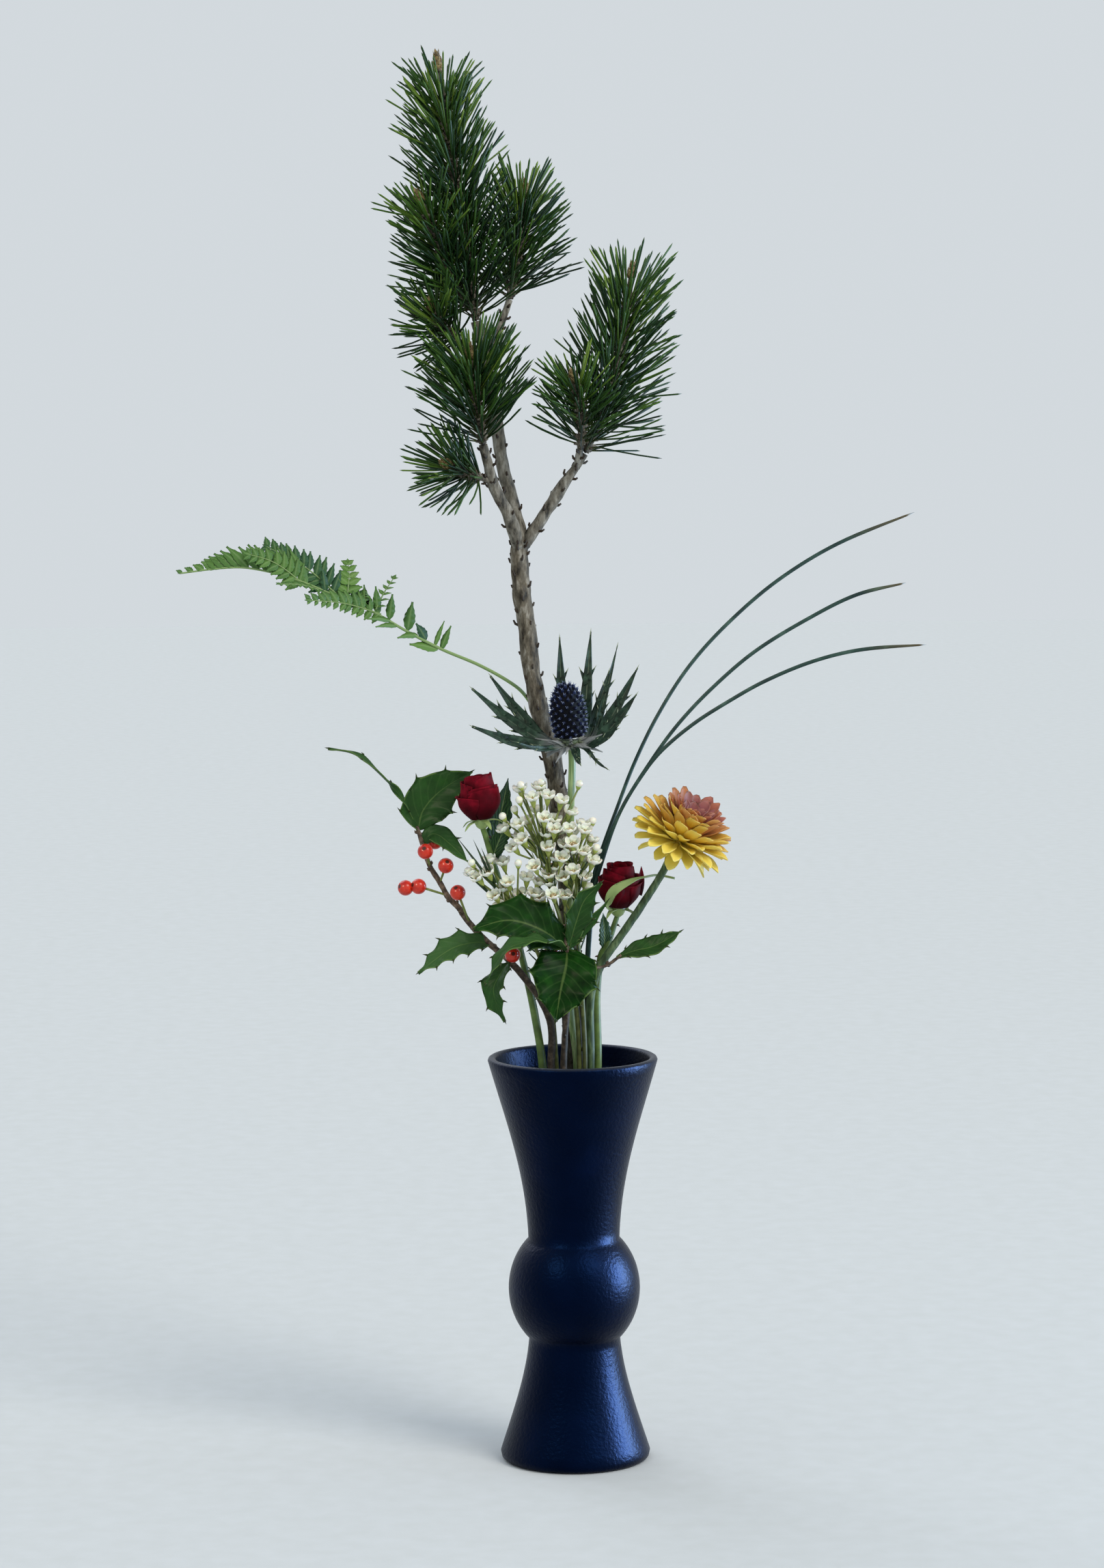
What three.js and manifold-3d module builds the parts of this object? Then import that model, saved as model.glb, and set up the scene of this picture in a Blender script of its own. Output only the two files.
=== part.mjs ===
// An ikebana arrangement: pine, fern, sea holly, steel grass, holly, waxflower, two spray roses and
// a chrysanthemum, all standing in the water of a dark glazed vase.
// Millimetres, +Z up, +X right, +Y away from the viewer, origin at the centre of the vase's base.
import * as THREE from 'three';
import { mergeVertices } from 'three/addons/utils/BufferGeometryUtils.js';
import Module from 'manifold-3d';

const wasm = await Module();
wasm.setup();

// Driving dimensions of the vase
const VASE_HEIGHT = 250;
const RIM_RADIUS = 52;
const NECK_RADIUS = 28;
const BALL_RADIUS = 40.4;
const BALL_HALF_HEIGHT = 43;
const BALL_CENTRE = 106.5;
const FOOT_RADIUS = 46;
const FOOT_EDGE = 5;
const WALL = 5;
const FLOOR = 8;
const LIP = 2;
const VASE_SIDES = 20;
const WATER_LEVEL = 238;

// Driving dimensions of the plants
const NEEDLE_RADIUS = 0.75;
const BLADE = 0.8;
const BERRY_RADIUS = 4.75;
const ROSE_RADIUS = 12.5;
const ROSE_HEIGHT = 27;
const CONE_RADIUS = 9.6;
const CONE_HEIGHT = 31;
const FLORET_RADIUS = 4.3;

// Clearance between neighbouring pieces, and round a stem in its hole in the water
const GAP = 0.4;
const HOLE_GAP = 0.5;
const WELD = 1e-4;
const GOLDEN_ANGLE = Math.PI * (3 - Math.sqrt(5));
const TO_VIEWER = [0, -1, 0];

const { cos, sin, PI, abs, max, min, pow, sqrt } = Math;
const radians = THREE.MathUtils.degToRad;
const mix = THREE.MathUtils.lerp;
const vec = (p) => new THREE.Vector3(p[0], p[1], p[2]);

// Draws the same even numbers from 0 to 1 on every run
function seededRandom(seed) {
  let state = seed;
  return () => {
    state = (state * 1664525 + 1013904223) % 4294967296;
    return state / 4294967296;
  };
}

// A smooth curve through points written as [x, y, z]
function path(points) {
  return new THREE.CatmullRomCurve3(points.map(vec), false, 'centripetal');
}

// A closed three.js shape as a solid, its shared corners welded and its empty triangles left out
function solid(geometry) {
  const bare = geometry.clone();
  bare.deleteAttribute('normal');
  bare.deleteAttribute('uv');
  const welded = mergeVertices(bare, WELD);
  const corners = welded.index.array;
  const triangles = [];
  for (let i = 0; i < corners.length; i += 3) {
    const [a, b, c] = corners.slice(i, i + 3);
    if (a !== b && b !== c && c !== a) {
      triangles.push(a, b, c);
    }
  }
  return new wasm.Manifold(new wasm.Mesh({
    numProp: 3,
    vertProperties: new Float32Array(welded.attributes.position.array),
    triVerts: new Uint32Array(triangles),
  }));
}

// Joins a list of solids two by two
function join(solids) {
  let left = solids;
  while (left.length > 1) {
    const next = [];
    for (let i = 0; i < left.length; i += 2) {
      next.push(i + 1 < left.length ? left[i].add(left[i + 1]) : left[i]);
    }
    left = next;
  }
  return left[0];
}

// The largest body of a joined solid: loose scraps and sealed hollows are dropped
function oneBody(joined) {
  const bodies = joined.decompose();
  return bodies.reduce((largest, body) => (body.volume() > largest.volume() ? body : largest));
}

// The direction at an angle round a tangent, as a sweep's section counts it
function aroundAxis(tangent, angle) {
  const side = tangent.clone().cross(vec(TO_VIEWER)).normalize();
  const up = side.clone().cross(tangent).normalize();
  return side.multiplyScalar(sin(angle)).addScaledVector(up, cos(angle));
}

// Bends a unit cylinder along a curve. across and deep give the section's half sizes at t from 0 to 1,
// lift raises its two edges, and face is the side of the section that deep is measured to.
function sweep(curve, options) {
  const { sides = 5, rings = 4, across, face = TO_VIEWER, pointed = false, rooted = true } = options;
  const deep = options.deep ?? across;
  const lift = options.lift ?? (() => 0);
  const shape = new THREE.CylinderGeometry(1, 1, 1, sides, rings);
  const position = shape.attributes.position;
  const place = new THREE.Vector3();
  for (let i = 0; i < position.count; i++) {
    place.fromBufferAttribute(position, i);
    const t = place.y + 0.5;
    const isPoint = (pointed && t > 1 - WELD) || (!rooted && t < WELD);
    const a = isPoint ? 0 : place.x;
    const b = isPoint ? 0 : place.z;
    const tangent = curve.getTangent(t);
    const side = tangent.clone().cross(vec(face)).normalize();
    const up = side.clone().cross(tangent);
    place.copy(curve.getPoint(t));
    place.addScaledVector(side, a * across(t));
    place.addScaledVector(up, b * deep(t) + a * a * lift(t));
    position.setXYZ(i, place.x, place.y, place.z);
  }
  return solid(shape);
}

// A stem through the given points, with a ring at each, tapering from one radius to the other
function stem(points, from, to, options = {}) {
  const rings = points.length - 1;
  return sweep(path(points), { sides: 5, rings, across: (t) => mix(from, to, t), ...options });
}

// Gives a bent sheet its thickness. Both faces keep the same triangles.
function thicken(sheet, thickness) {
  const bare = sheet.clone();
  bare.deleteAttribute('normal');
  bare.deleteAttribute('uv');
  const welded = mergeVertices(bare, WELD);
  welded.computeVertexNormals();
  const { position, normal } = welded.attributes;
  const count = position.count;
  const places = [];
  for (const level of [0.5, -0.5]) {
    for (let i = 0; i < count; i++) {
      const place = new THREE.Vector3().fromBufferAttribute(position, i);
      const out = new THREE.Vector3().fromBufferAttribute(normal, i);
      places.push(...place.addScaledVector(out, level * thickness).toArray());
    }
  }
  const corners = welded.index.array;
  const edges = new Set();
  const triangles = [];
  for (let i = 0; i < corners.length; i += 3) {
    const [a, b, c] = corners.slice(i, i + 3);
    triangles.push(a, b, c, a + count, c + count, b + count);
    edges.add(`${a} ${b}`).add(`${b} ${c}`).add(`${c} ${a}`);
  }
  for (const edge of edges) {
    const [a, b] = edge.split(' ').map(Number);
    if (!edges.has(`${b} ${a}`)) {
      triangles.push(b, a, a + count, b, a + count, b + count);
    }
  }
  const shape = new THREE.BufferGeometry();
  shape.setAttribute('position', new THREE.Float32BufferAttribute(places, 3));
  shape.setIndex(triangles);
  return solid(shape);
}

// A leaf blade on a rib through the given points. halfWidths holds one value a row, from stalk to tip.
// fold raises the two halves and rake carries the edge on toward the tip.
function blade(points, options) {
  const { halfWidths, face, fold = 0, rake = 0, columns = 2 } = options;
  const rows = halfWidths.length - 1;
  const curve = path(points);
  const sheet = new THREE.PlaneGeometry(2, 1, columns, rows);
  const position = sheet.attributes.position;
  const place = new THREE.Vector3();
  for (let i = 0; i < position.count; i++) {
    const x = position.getX(i);
    const t = 0.5 - position.getY(i);
    const row = Math.round(t * rows);
    const width = abs(x) * halfWidths[row];
    const tangent = curve.getTangent(t);
    const side = vec(face).cross(tangent).normalize();
    const up = tangent.clone().cross(side);
    place.copy(curve.getPoint(t));
    place.addScaledVector(side, x * halfWidths[row]);
    place.addScaledVector(up, fold * width);
    place.addScaledVector(tangent, row < rows ? rake * width : 0);
    position.setXYZ(i, place.x, place.y, place.z);
  }
  keepSheetClear(options.node, sheet, columns, rows);
  return thicken(sheet, BLADE);
}

// Capsules along what is already placed, so that small repeats keep clear of other nodes
const placed = [];

function capsules(node, points, from, to) {
  const last = points.length - 1;
  return points.slice(0, last).map((point, i) => (
    { node, a: vec(point), b: vec(points[i + 1]), radius: mix(from, to, i / last) }
  ));
}

function keepClear(node, points, from, to) {
  placed.push(...capsules(node, points, from, to));
}

// Capsules across a leaf's sheet, at each row and halfway to the next
function keepSheetClear(node, sheet, columns, rows) {
  const edges = [];
  for (let row = 0; row <= rows; row++) {
    const start = row * (columns + 1);
    const { position } = sheet.attributes;
    const a = new THREE.Vector3().fromBufferAttribute(position, start);
    const b = new THREE.Vector3().fromBufferAttribute(position, start + columns);
    edges.push({ node, a, b, radius: BLADE });
  }
  for (const [row, edge] of edges.slice(1).entries()) {
    const a = edge.a.clone().lerp(edges[row].a, 0.5);
    const b = edge.b.clone().lerp(edges[row].b, 0.5);
    placed.push(edge, { node, a, b, radius: BLADE });
  }
}

// The distance between the stretches ab and cd
function stretchDistance(a, b, c, d) {
  const ab = b.clone().sub(a);
  const cd = d.clone().sub(c);
  const ca = a.clone().sub(c);
  const aa = ab.dot(ab);
  const bb = cd.dot(cd);
  const cross = ab.dot(cd);
  const e = ab.dot(ca);
  const f = cd.dot(ca);
  const flat = aa * bb - cross * cross;
  const clamp = (x) => min(1, max(0, x));
  let s = flat > WELD ? clamp((cross * f - e * bb) / flat) : 0;
  const t = clamp((cross * s + f) / bb);
  s = clamp((cross * t - e) / aa);
  return a.clone().addScaledVector(ab, s).distanceTo(c.clone().addScaledVector(cd, t));
}

function isClear(node, points, radius, list = placed) {
  for (let i = 0; i + 1 < points.length; i++) {
    for (const other of list) {
      const reach = radius + other.radius + GAP;
      if (other.node !== node && stretchDistance(points[i], points[i + 1], other.a, other.b) < reach) {
        return false;
      }
    }
  }
  return true;
}

// Stands a stem in the water: the hole is the stem's first stretch, made wider
const holes = [];

function standIn(points, radius, sides = 5) {
  const reach = radius + HOLE_GAP;
  const start = vec(points[0]);
  const end = vec(points[1]);
  start.addScaledVector(end.clone().sub(start).normalize(), -HOLE_GAP);
  const line = new THREE.LineCurve3(start, end);
  holes.push(sweep(line, { sides, rings: 1, across: () => reach }));
}

// The inside of the vase, from its lip down to the middle of its floor
function vaseInside() {
  const inner = new THREE.Path();
  const neck = NECK_RADIUS - WALL;
  const ball = BALL_RADIUS - WALL;
  const high = BALL_HALF_HEIGHT - WALL;
  const turn = Math.acos(neck / ball);
  inner.moveTo(RIM_RADIUS - WALL, VASE_HEIGHT - LIP);
  inner.bezierCurveTo(37, 210, 24.5, 180, neck, BALL_CENTRE + high * sin(turn));
  inner.absellipse(0, BALL_CENTRE, ball, high, turn, -turn, true);
  inner.bezierCurveTo(25, 52, 33, 30, FOOT_RADIUS - WALL - 4, FLOOR + 4);
  inner.lineTo(FOOT_RADIUS - WALL - 8, FLOOR);
  inner.lineTo(0, FLOOR);
  return inner.getPoints(2);
}

// Turns a profile of radii and heights round the vase's upright axis
function turned(profile) {
  return solid(new THREE.LatheGeometry(profile, VASE_SIDES).rotateX(PI / 2));
}

function makeVase() {
  const outer = new THREE.Path();
  const turn = Math.acos(NECK_RADIUS / BALL_RADIUS);
  const rise = BALL_HALF_HEIGHT * sin(turn);
  outer.moveTo(0, 0);
  outer.lineTo(FOOT_RADIUS - FOOT_EDGE / 2, 0);
  outer.lineTo(FOOT_RADIUS, FOOT_EDGE);
  outer.bezierCurveTo(38, 30, 30, 52, NECK_RADIUS, BALL_CENTRE - rise);
  outer.absellipse(0, BALL_CENTRE, BALL_RADIUS, BALL_HALF_HEIGHT, -turn, turn, false);
  outer.bezierCurveTo(29.5, 180, 42, 212, RIM_RADIUS, VASE_HEIGHT - LIP);
  outer.lineTo(RIM_RADIUS - WALL / 2, VASE_HEIGHT);
  return turned([...outer.getPoints(3), ...vaseInside()]);
}

// The water keeps a gap to the vase's wall and floor all round
function makeWater() {
  const wall = vaseInside();
  const above = wall.filter((p) => p.y > WATER_LEVEL).at(-1);
  const below = wall.filter((p) => p.y <= WATER_LEVEL);
  const share = (above.y - WATER_LEVEL) / (above.y - below[0].y);
  const top = new THREE.Vector2(mix(above.x, below[0].x, share) - GAP, WATER_LEVEL);
  const sides = below.slice(0, -1).map((p) => new THREE.Vector2(p.x - GAP, p.y));
  sides.at(-1).y += GAP;
  const profile = [new THREE.Vector2(0, WATER_LEVEL), top, ...sides];
  profile.push(new THREE.Vector2(0, FLOOR + GAP));
  return holes.reduce((water, hole) => water.subtract(hole), turned(profile.reverse()));
}

// Pine wood: a trunk that forks into three limbs, two of them with a side twig
const PINE_TRUNK = [[2, 2, 20], [0, 5, 246], [0, 5, 277], [-1, 6, 311], [-3, 8, 361], [-8, 9, 410],
  [-13, 10, 441], [-22, 10, 479], [-27, 9, 520], [-30, 8, 554], [-29, 8, 568]];
const PINE_CENTRE = [[-29, 8, 562], [-34, 11, 589], [-39, 13, 607], [-42, 14, 628], [-46, 15, 653],
  [-50, 15, 678], [-55, 14, 698]];
const PINE_LEFT = [[-30, 7, 562], [-38, -2, 585], [-45, -6, 599], [-48, -10, 612], [-51, -13, 624]];
const PINE_RIGHT = [[-29, 8, 562], [-18, 7, 576], [-7, 6, 593], [3, 6, 607], [10, 6, 618]];
const PINE_SECOND = [[-46.5, 15, 679], [-40, 20, 696], [-35, 23, 711]];
const PINE_TUFT = [[-49, 15, 676], [-58, 10, 682], [-65, 6, 686]];
const PINE_SIDE_LEFT = [[-46, -7, 601], [-52, -10, 604]];
const PINE_SIDE_RIGHT = [[5, 6, 609], [7.5, 1, 621]];

// Peg-like leaf bases round a limb
const STUB_RADIUS = 1;
const STUB_OUT = 3.4;
const STUB_UP = 1.8;

function stubs(points, radius, count) {
  const curve = path(points);
  const pegs = [];
  for (let i = 0; i < count; i++) {
    const t = (i + 0.5) / count;
    const tangent = curve.getTangent(t);
    const out = aroundAxis(tangent, i * GOLDEN_ANGLE);
    const root = curve.getPoint(t).addScaledVector(out, radius * 0.6);
    const tip = root.clone().addScaledVector(out, STUB_OUT).addScaledVector(tangent, STUB_UP);
    if (isClear('pine_wood', [root, tip], STUB_RADIUS)) {
      const line = new THREE.LineCurve3(root, tip);
      const face = tangent.toArray();
      pegs.push(sweep(line, { sides: 3, rings: 1, across: () => STUB_RADIUS, face, pointed: true }));
    }
  }
  return pegs;
}

function makePineWood() {
  const bark = [
    stem(PINE_TRUNK, 6.3, 5.2, { sides: 8 }),
    stem(PINE_CENTRE, 4.6, 3.2),
    stem(PINE_LEFT, 4.2, 2.6),
    stem(PINE_RIGHT, 4.2, 2.6),
    stem(PINE_SECOND, 2.6, 2.2),
    stem(PINE_TUFT, 2, 1.7),
    stem(PINE_SIDE_LEFT, 2, 1.8),
    stem(PINE_SIDE_RIGHT, 2.2, 2),
    ...stubs(PINE_TRUNK.slice(1, 6), 5.8, 8),
    ...stubs(PINE_TRUNK.slice(5), 5.3, 12),
    ...stubs(PINE_CENTRE.slice(1, 5), 3.9, 6),
    ...stubs(PINE_LEFT.slice(1), 3.2, 5),
    ...stubs(PINE_RIGHT.slice(1), 3.2, 5),
  ];
  keepClear('pine_wood', PINE_TRUNK, 6.3, 5.2);
  keepClear('pine_wood', PINE_CENTRE, 4.6, 3.2);
  keepClear('pine_wood', PINE_LEFT, 4.2, 2.6);
  keepClear('pine_wood', PINE_RIGHT, 4.2, 2.6);
  keepClear('pine_wood', PINE_SECOND, 2.6, 2.2);
  keepClear('pine_wood', PINE_TUFT, 2, 1.7);
  keepClear('pine_wood', PINE_SIDE_LEFT, 2, 1.8);
  keepClear('pine_wood', PINE_SIDE_RIGHT, 2.2, 2);
  standIn(PINE_TRUNK, 6.3, 8);
  return oneBody(join(bark));
}

// The points of a shoot that grows on from a twig's end, a gap away from it
const SHOOT_GAP = 0.75;

function growOn(twig, points) {
  const end = vec(twig.at(-1));
  const way = end.clone().sub(vec(twig.at(-2))).normalize();
  return [end.addScaledVector(way, SHOOT_GAP).toArray(), ...points];
}

// A needle spray: needles all round a slim shoot that grows on from the wood. They stand well out at
// its foot and lean forward at its tip. The leader also has a side shoot, which leaves it low down.
const PINE_SPRAYS = {
  leader: {
    shoot: growOn(PINE_CENTRE, [[-63, 11, 762], [-71, 8.5, 808], [-76, 6, 848]]),
    count: 104, length: 46, tip: 32, seed: 11,
    side: {
      shoot: [[-56, 13.6, 706], [-65, 9, 713], [-74, 4, 734], [-80, 0, 752], [-87, -5, 769]],
      count: 44, length: 38, tip: 32,
    },
  },
  second: {
    shoot: growOn(PINE_SECOND, [[-28.5, 27, 748], [-26, 29, 776]]),
    count: 44, length: 40, tip: 32, seed: 23,
  },
  left: {
    shoot: growOn(PINE_LEFT, [[-55, -18, 650], [-58, -22, 676]]),
    count: 44, length: 46, tip: 34, seed: 37,
  },
  right: {
    shoot: growOn(PINE_RIGHT, [[23, 7, 646], [35, 9, 697], [39, 9, 724]]),
    count: 62, length: 44, tip: 34, seed: 41,
  },
  tuft_left: {
    shoot: growOn(PINE_TUFT, [[-75, -1, 694], [-81, -6, 706]]),
    count: 20, length: 38, tip: 32, seed: 53,
  },
  side_left: {
    shoot: growOn(PINE_SIDE_LEFT, [[-62, -17, 607], [-71, -24, 612]]),
    count: 20, length: 38, tip: 32, seed: 67,
  },
  side_right: {
    shoot: growOn(PINE_SIDE_RIGHT, [[8, -8, 643], [4, -15, 662]]),
    count: 22, length: 38, tip: 32, seed: 71,
  },
};

const SHOOT_RADIUS = 2.2;
const SHOOT_TIP = 1.9;
const SHOOT_SIDES = 4;
const FACET = (2 * PI) / SHOOT_SIDES;
const FACET_SHARE = 0.8;

// The needles stand on this share of the shoot, and the rest of it is its bare bud
const FOLIAGE_SHARE = 0.9;
const NEEDLE_CROWDING = 0.9;
const LEAN_AT_FOOT = 62;
const LEAN_AT_TIP = 42;
const LEAN_SPREAD = 12;
const TURNS_TRIED = 6;
const TURN_STEP = 0.35;

// The needles of one shoot, each turned until it is clear of other nodes and of the spray's own pieces
function needlesOn(node, { shoot, count, length, tip }, random, own) {
  const spine = new THREE.CatmullRomCurve3(shoot.map(vec), false, 'catmullrom', 0);
  const needles = [];
  for (let i = 0; i < count; i++) {
    const share = pow((i + 0.5) / count, NEEDLE_CROWDING);
    const t = FOLIAGE_SHARE * share;
    const axis = spine.getTangentAt(t);
    const lean = radians(mix(LEAN_AT_FOOT, LEAN_AT_TIP, share) + LEAN_SPREAD * (random() - 0.5));
    const reach = mix(length, tip, pow(share, 3)) * mix(0.92, 1.08, random());
    const clearSide = diagonalIsLow(spine, t) ? 1 : -1;
    for (let turn = 0; turn < TURNS_TRIED; turn++) {
      const angle = i * GOLDEN_ANGLE + turn * TURN_STEP;
      const { root, way } = needleSeat(axis, angle, lean, mix(SHOOT_RADIUS, SHOOT_TIP, t), clearSide);
      root.add(spine.getPointAt(t));
      const outer = root.clone().addScaledVector(way, SHOOT_RADIUS);
      const end = root.clone().addScaledVector(way, reach);
      const clear = isClear(node, [root, end], NEEDLE_RADIUS);
      if (clear && isClear('', [outer, end], NEEDLE_RADIUS - GAP, own)) {
        const line = new THREE.LineCurve3(root, end);
        const across = () => NEEDLE_RADIUS;
        const face = axis.toArray();
        needles.push(sweep(line, { sides: 3, rings: 1, across, face, pointed: true }));
        own.push({ node, a: outer, b: end, radius: NEEDLE_RADIUS });
        placed.push({ node, a: root, b: outer, radius: NEEDLE_RADIUS });
        break;
      }
    }
  }
  return needles;
}

function makeSpray(name, spray) {
  const node = `pine_needles_${name}`;
  const random = seededRandom(spray.seed);
  const shoots = spray.side ? [spray, spray.side] : [spray];
  const cores = shoots.map(({ shoot }) => capsules(node, shoot, SHOOT_RADIUS, SHOOT_TIP));
  const own = [];
  const pieces = [];
  for (const [i, shoot] of shoots.entries()) {
    const others = cores.filter((_, other) => other !== i).flat();
    const known = [...others, ...own];
    pieces.push(stem(shoot.shoot, SHOOT_RADIUS, SHOOT_TIP, { sides: SHOOT_SIDES }));
    pieces.push(...needlesOn(node, shoot, random, known));
    own.push(...known.slice(others.length + own.length));
  }
  placed.push(...own);
  return oneBody(join(pieces));
}

// Whether a facet's diagonal still runs in its lower half at this share of the shoot's length
function diagonalIsLow(spine, t) {
  const stretches = spine.points.length - 1;
  return (spine.getUtoTmapping(t) * stretches) % 1 < 0.5;
}

// Where a needle starts from the shoot's axis: it comes out of one facet, clear of the facet's edges
// and of its diagonal
function needleSeat(axis, angle, lean, radius, clearSide) {
  const facet = (Math.floor(angle / FACET) + 0.5) * FACET;
  const offset = (angle - facet) * FACET_SHARE;
  const way = axis.clone().multiplyScalar(cos(lean));
  way.addScaledVector(aroundAxis(axis, facet + offset), sin(lean));
  const tilt = sin(lean) * cos(offset);
  const sunk = NEEDLE_RADIUS * sqrt(1 - tilt * tilt);
  const depth = radius * cos(FACET / 2) - sunk - WELD;
  const beside = clearSide * (radius * sin(FACET / 2) - NEEDLE_RADIUS) - sunk * Math.tan(offset);
  const root = aroundAxis(axis, facet).multiplyScalar(depth);
  root.addScaledVector(aroundAxis(axis, facet + PI / 2), beside);
  return { root, way };
}

// Half widths of a toothed leaf: a rounded outline whose every other row is a tooth
function toothed(halfWidth, teeth, notch, fullness = 0.8) {
  const rows = teeth * 2 + 1;
  const widths = [];
  for (let row = 0; row <= rows; row++) {
    const outline = sin(PI * pow(row / rows, fullness));
    widths.push(max(BLADE / 2, halfWidth * outline * (row % 2 ? 1 : notch)));
  }
  return widths;
}

// Fern: the stalk and rachis carry pinnae, each a thin blade lobed down toward its rib
const FERN_STALK = [[0, 14, 150], [-1, 17, 246], [-3, 20, 330], [-7, 21, 400], [-14, 21, 446],
  [-25, 20, 467], [-33, 18, 476], [-54, 12, 489], [-78, 5, 500], [-98, -1, 511], [-118, -5, 523],
  [-142, -9, 534], [-168, -13, 545], [-193, -15, 551], [-210, -16, 551], [-236, -17, 548]];

// Where the pinnae stand, counted in the stalk's points, with their lengths on the far and near side
const FERN_PINNAE = [
  { at: 8, far: 13, near: 10 }, { at: 8.6, far: 15, near: 14 }, { at: 9.3, far: 18, near: 16 },
  { at: 10, far: 30, near: 42 }, { at: 10.7, far: 48, near: 34 }, { at: 11.4, far: 36, near: 26 },
  { at: 12, far: 27, near: 22 }, { at: 12.6, far: 21, near: 17 }, { at: 13.1, far: 16, near: 13 },
  { at: 13.6, far: 12, near: 10 }, { at: 14.2, far: 9, near: 7 },
];
const FERN_SIDES = {
  far: { across: [0, 0.62, 0.78], face: [0.1, -0.9, 0.4] },
  near: { across: [0, -0.95, -0.25], face: [0.1, -0.6, 0.8] },
};
const PINNA_OPENING = radians(38);
const PINNA_DROOP = 0.08;
const PINNA_SLIMNESS = 0.17;
const NARROWEST_PINNA = 2;
const BROADEST_PINNA = 4.6;
const TWO_LOBES = 16;
const THREE_LOBES = 28;

function makeFern() {
  const node = 'fern_frond';
  const curve = path(FERN_STALK);
  const parts = [stem(FERN_STALK, 1.6, 0.8, { sides: 4 })];
  for (const pinna of FERN_PINNAE) {
    const t = pinna.at / (FERN_STALK.length - 1);
    const axis = curve.getTangent(t);
    for (const [name, { across, face }] of Object.entries(FERN_SIDES)) {
      const length = pinna[name];
      const way = axis.clone().multiplyScalar(cos(PINNA_OPENING));
      way.addScaledVector(vec(across), sin(PINNA_OPENING));
      const root = curve.getPoint(t);
      const middle = root.clone().addScaledVector(way, length * 0.5);
      const end = root.clone().addScaledVector(way, length);
      end.z -= length * PINNA_DROOP;
      const lobes = length > THREE_LOBES ? 3 : length > TWO_LOBES ? 2 : 1;
      const half = max(NARROWEST_PINNA, min(BROADEST_PINNA, length * PINNA_SLIMNESS));
      const halfWidths = toothed(half, lobes, 0.5, 0.7);
      const rib = [root.toArray(), middle.toArray(), end.toArray()];
      parts.push(blade(rib, { node, halfWidths, face, rake: 0.5, columns: 1 }));
    }
  }
  keepClear(node, FERN_STALK, 1.5, 0.7);
  standIn(FERN_STALK, 1.6, 4);
  return oneBody(join(parts));
}

// Sea holly: a stem with a ruff of spiny bracts, and a studded blue cone that sits on it
const SEA_HOLLY_STEM = [[2.4, -5.2, 160], [2.5, -6, 246], [-1, -9, 280], [-1, -11, 313], [-1, -14, 364],
  [0, -16, 406], [1, -17, 431], [0.5, -18, 445]];
const RUFF_CENTRE = [0.3, -18, 442.8];
const BRACT_TIPS = [[-59, -24, 478], [-59, -34, 456], [-48, -16, 485], [-6, 0, 507], [13, 4, 510],
  [29, -4, 502], [41, -12, 489], [40, -26, 474], [29, -44, 457], [22, -38, 430], [-31, -48, 447],
  [6, -44, 433], [24, 6, 486]];

const BRACT_FACE = [0, -0.9, 0.45];
const BRACT_HALF_WIDTHS = [1.3, 4.2, 2.6, 3.6, 0.4];
const BRACT_SHOULDER = 14.5;
const THIN_BRACT = 9;
const THIN_SHARE = 0.4;

// The stem widens into a small disc that the cone sits on
const DISC_FOOT = [0.4, -18, 441];
const DISC_TOP = [0.2, -18.2, 446.8];
const DISC_RADIUS = 6.5;

function makeSeaHollyStem() {
  const node = 'sea_holly_stem';
  const parts = [stem(SEA_HOLLY_STEM, 2, 2)];
  const centre = vec(RUFF_CENTRE);
  for (const [i, tip] of BRACT_TIPS.entries()) {
    const end = vec(tip);
    const flat = end.clone().sub(centre).setZ(0).normalize();
    const length = end.distanceTo(centre);
    const shoulder = centre.clone().addScaledVector(flat, min(BRACT_SHOULDER, length * 0.4));
    shoulder.z += (end.z - centre.z) * 0.08 - 1;
    const middle = shoulder.clone().lerp(end, 0.5);
    middle.z -= length * 0.04;
    const narrow = i === THIN_BRACT ? THIN_SHARE : 1;
    const halfWidths = BRACT_HALF_WIDTHS.map((half) => max(BLADE / 2, half * narrow));
    const root = centre.clone().addScaledVector(flat, 3.5);
    const rib = [root.toArray(), shoulder.toArray(), middle.toArray(), tip];
    parts.push(blade(rib, { node, halfWidths, face: BRACT_FACE, rake: 0.7, columns: 1 }));
  }
  parts.push(sweep(new THREE.LineCurve3(vec(DISC_FOOT), vec(DISC_TOP)), {
    sides: 8, rings: 1, across: (t) => mix(2.4, DISC_RADIUS, t),
  }));
  keepClear(node, SEA_HOLLY_STEM, 2, 2);
  standIn(SEA_HOLLY_STEM, 2);
  return oneBody(join(parts));
}

// The cone leans a little to the left and to the viewer. Its studs are its small pointed flowers.
const CONE_FOOT = [0.1, -18.3, 448];
const CONE_TOP = [-3, -21, 448 + CONE_HEIGHT];
const STUDS = 44;
const STUD_RADIUS = 1.3;
const STUD_LENGTH = 4;

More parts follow.
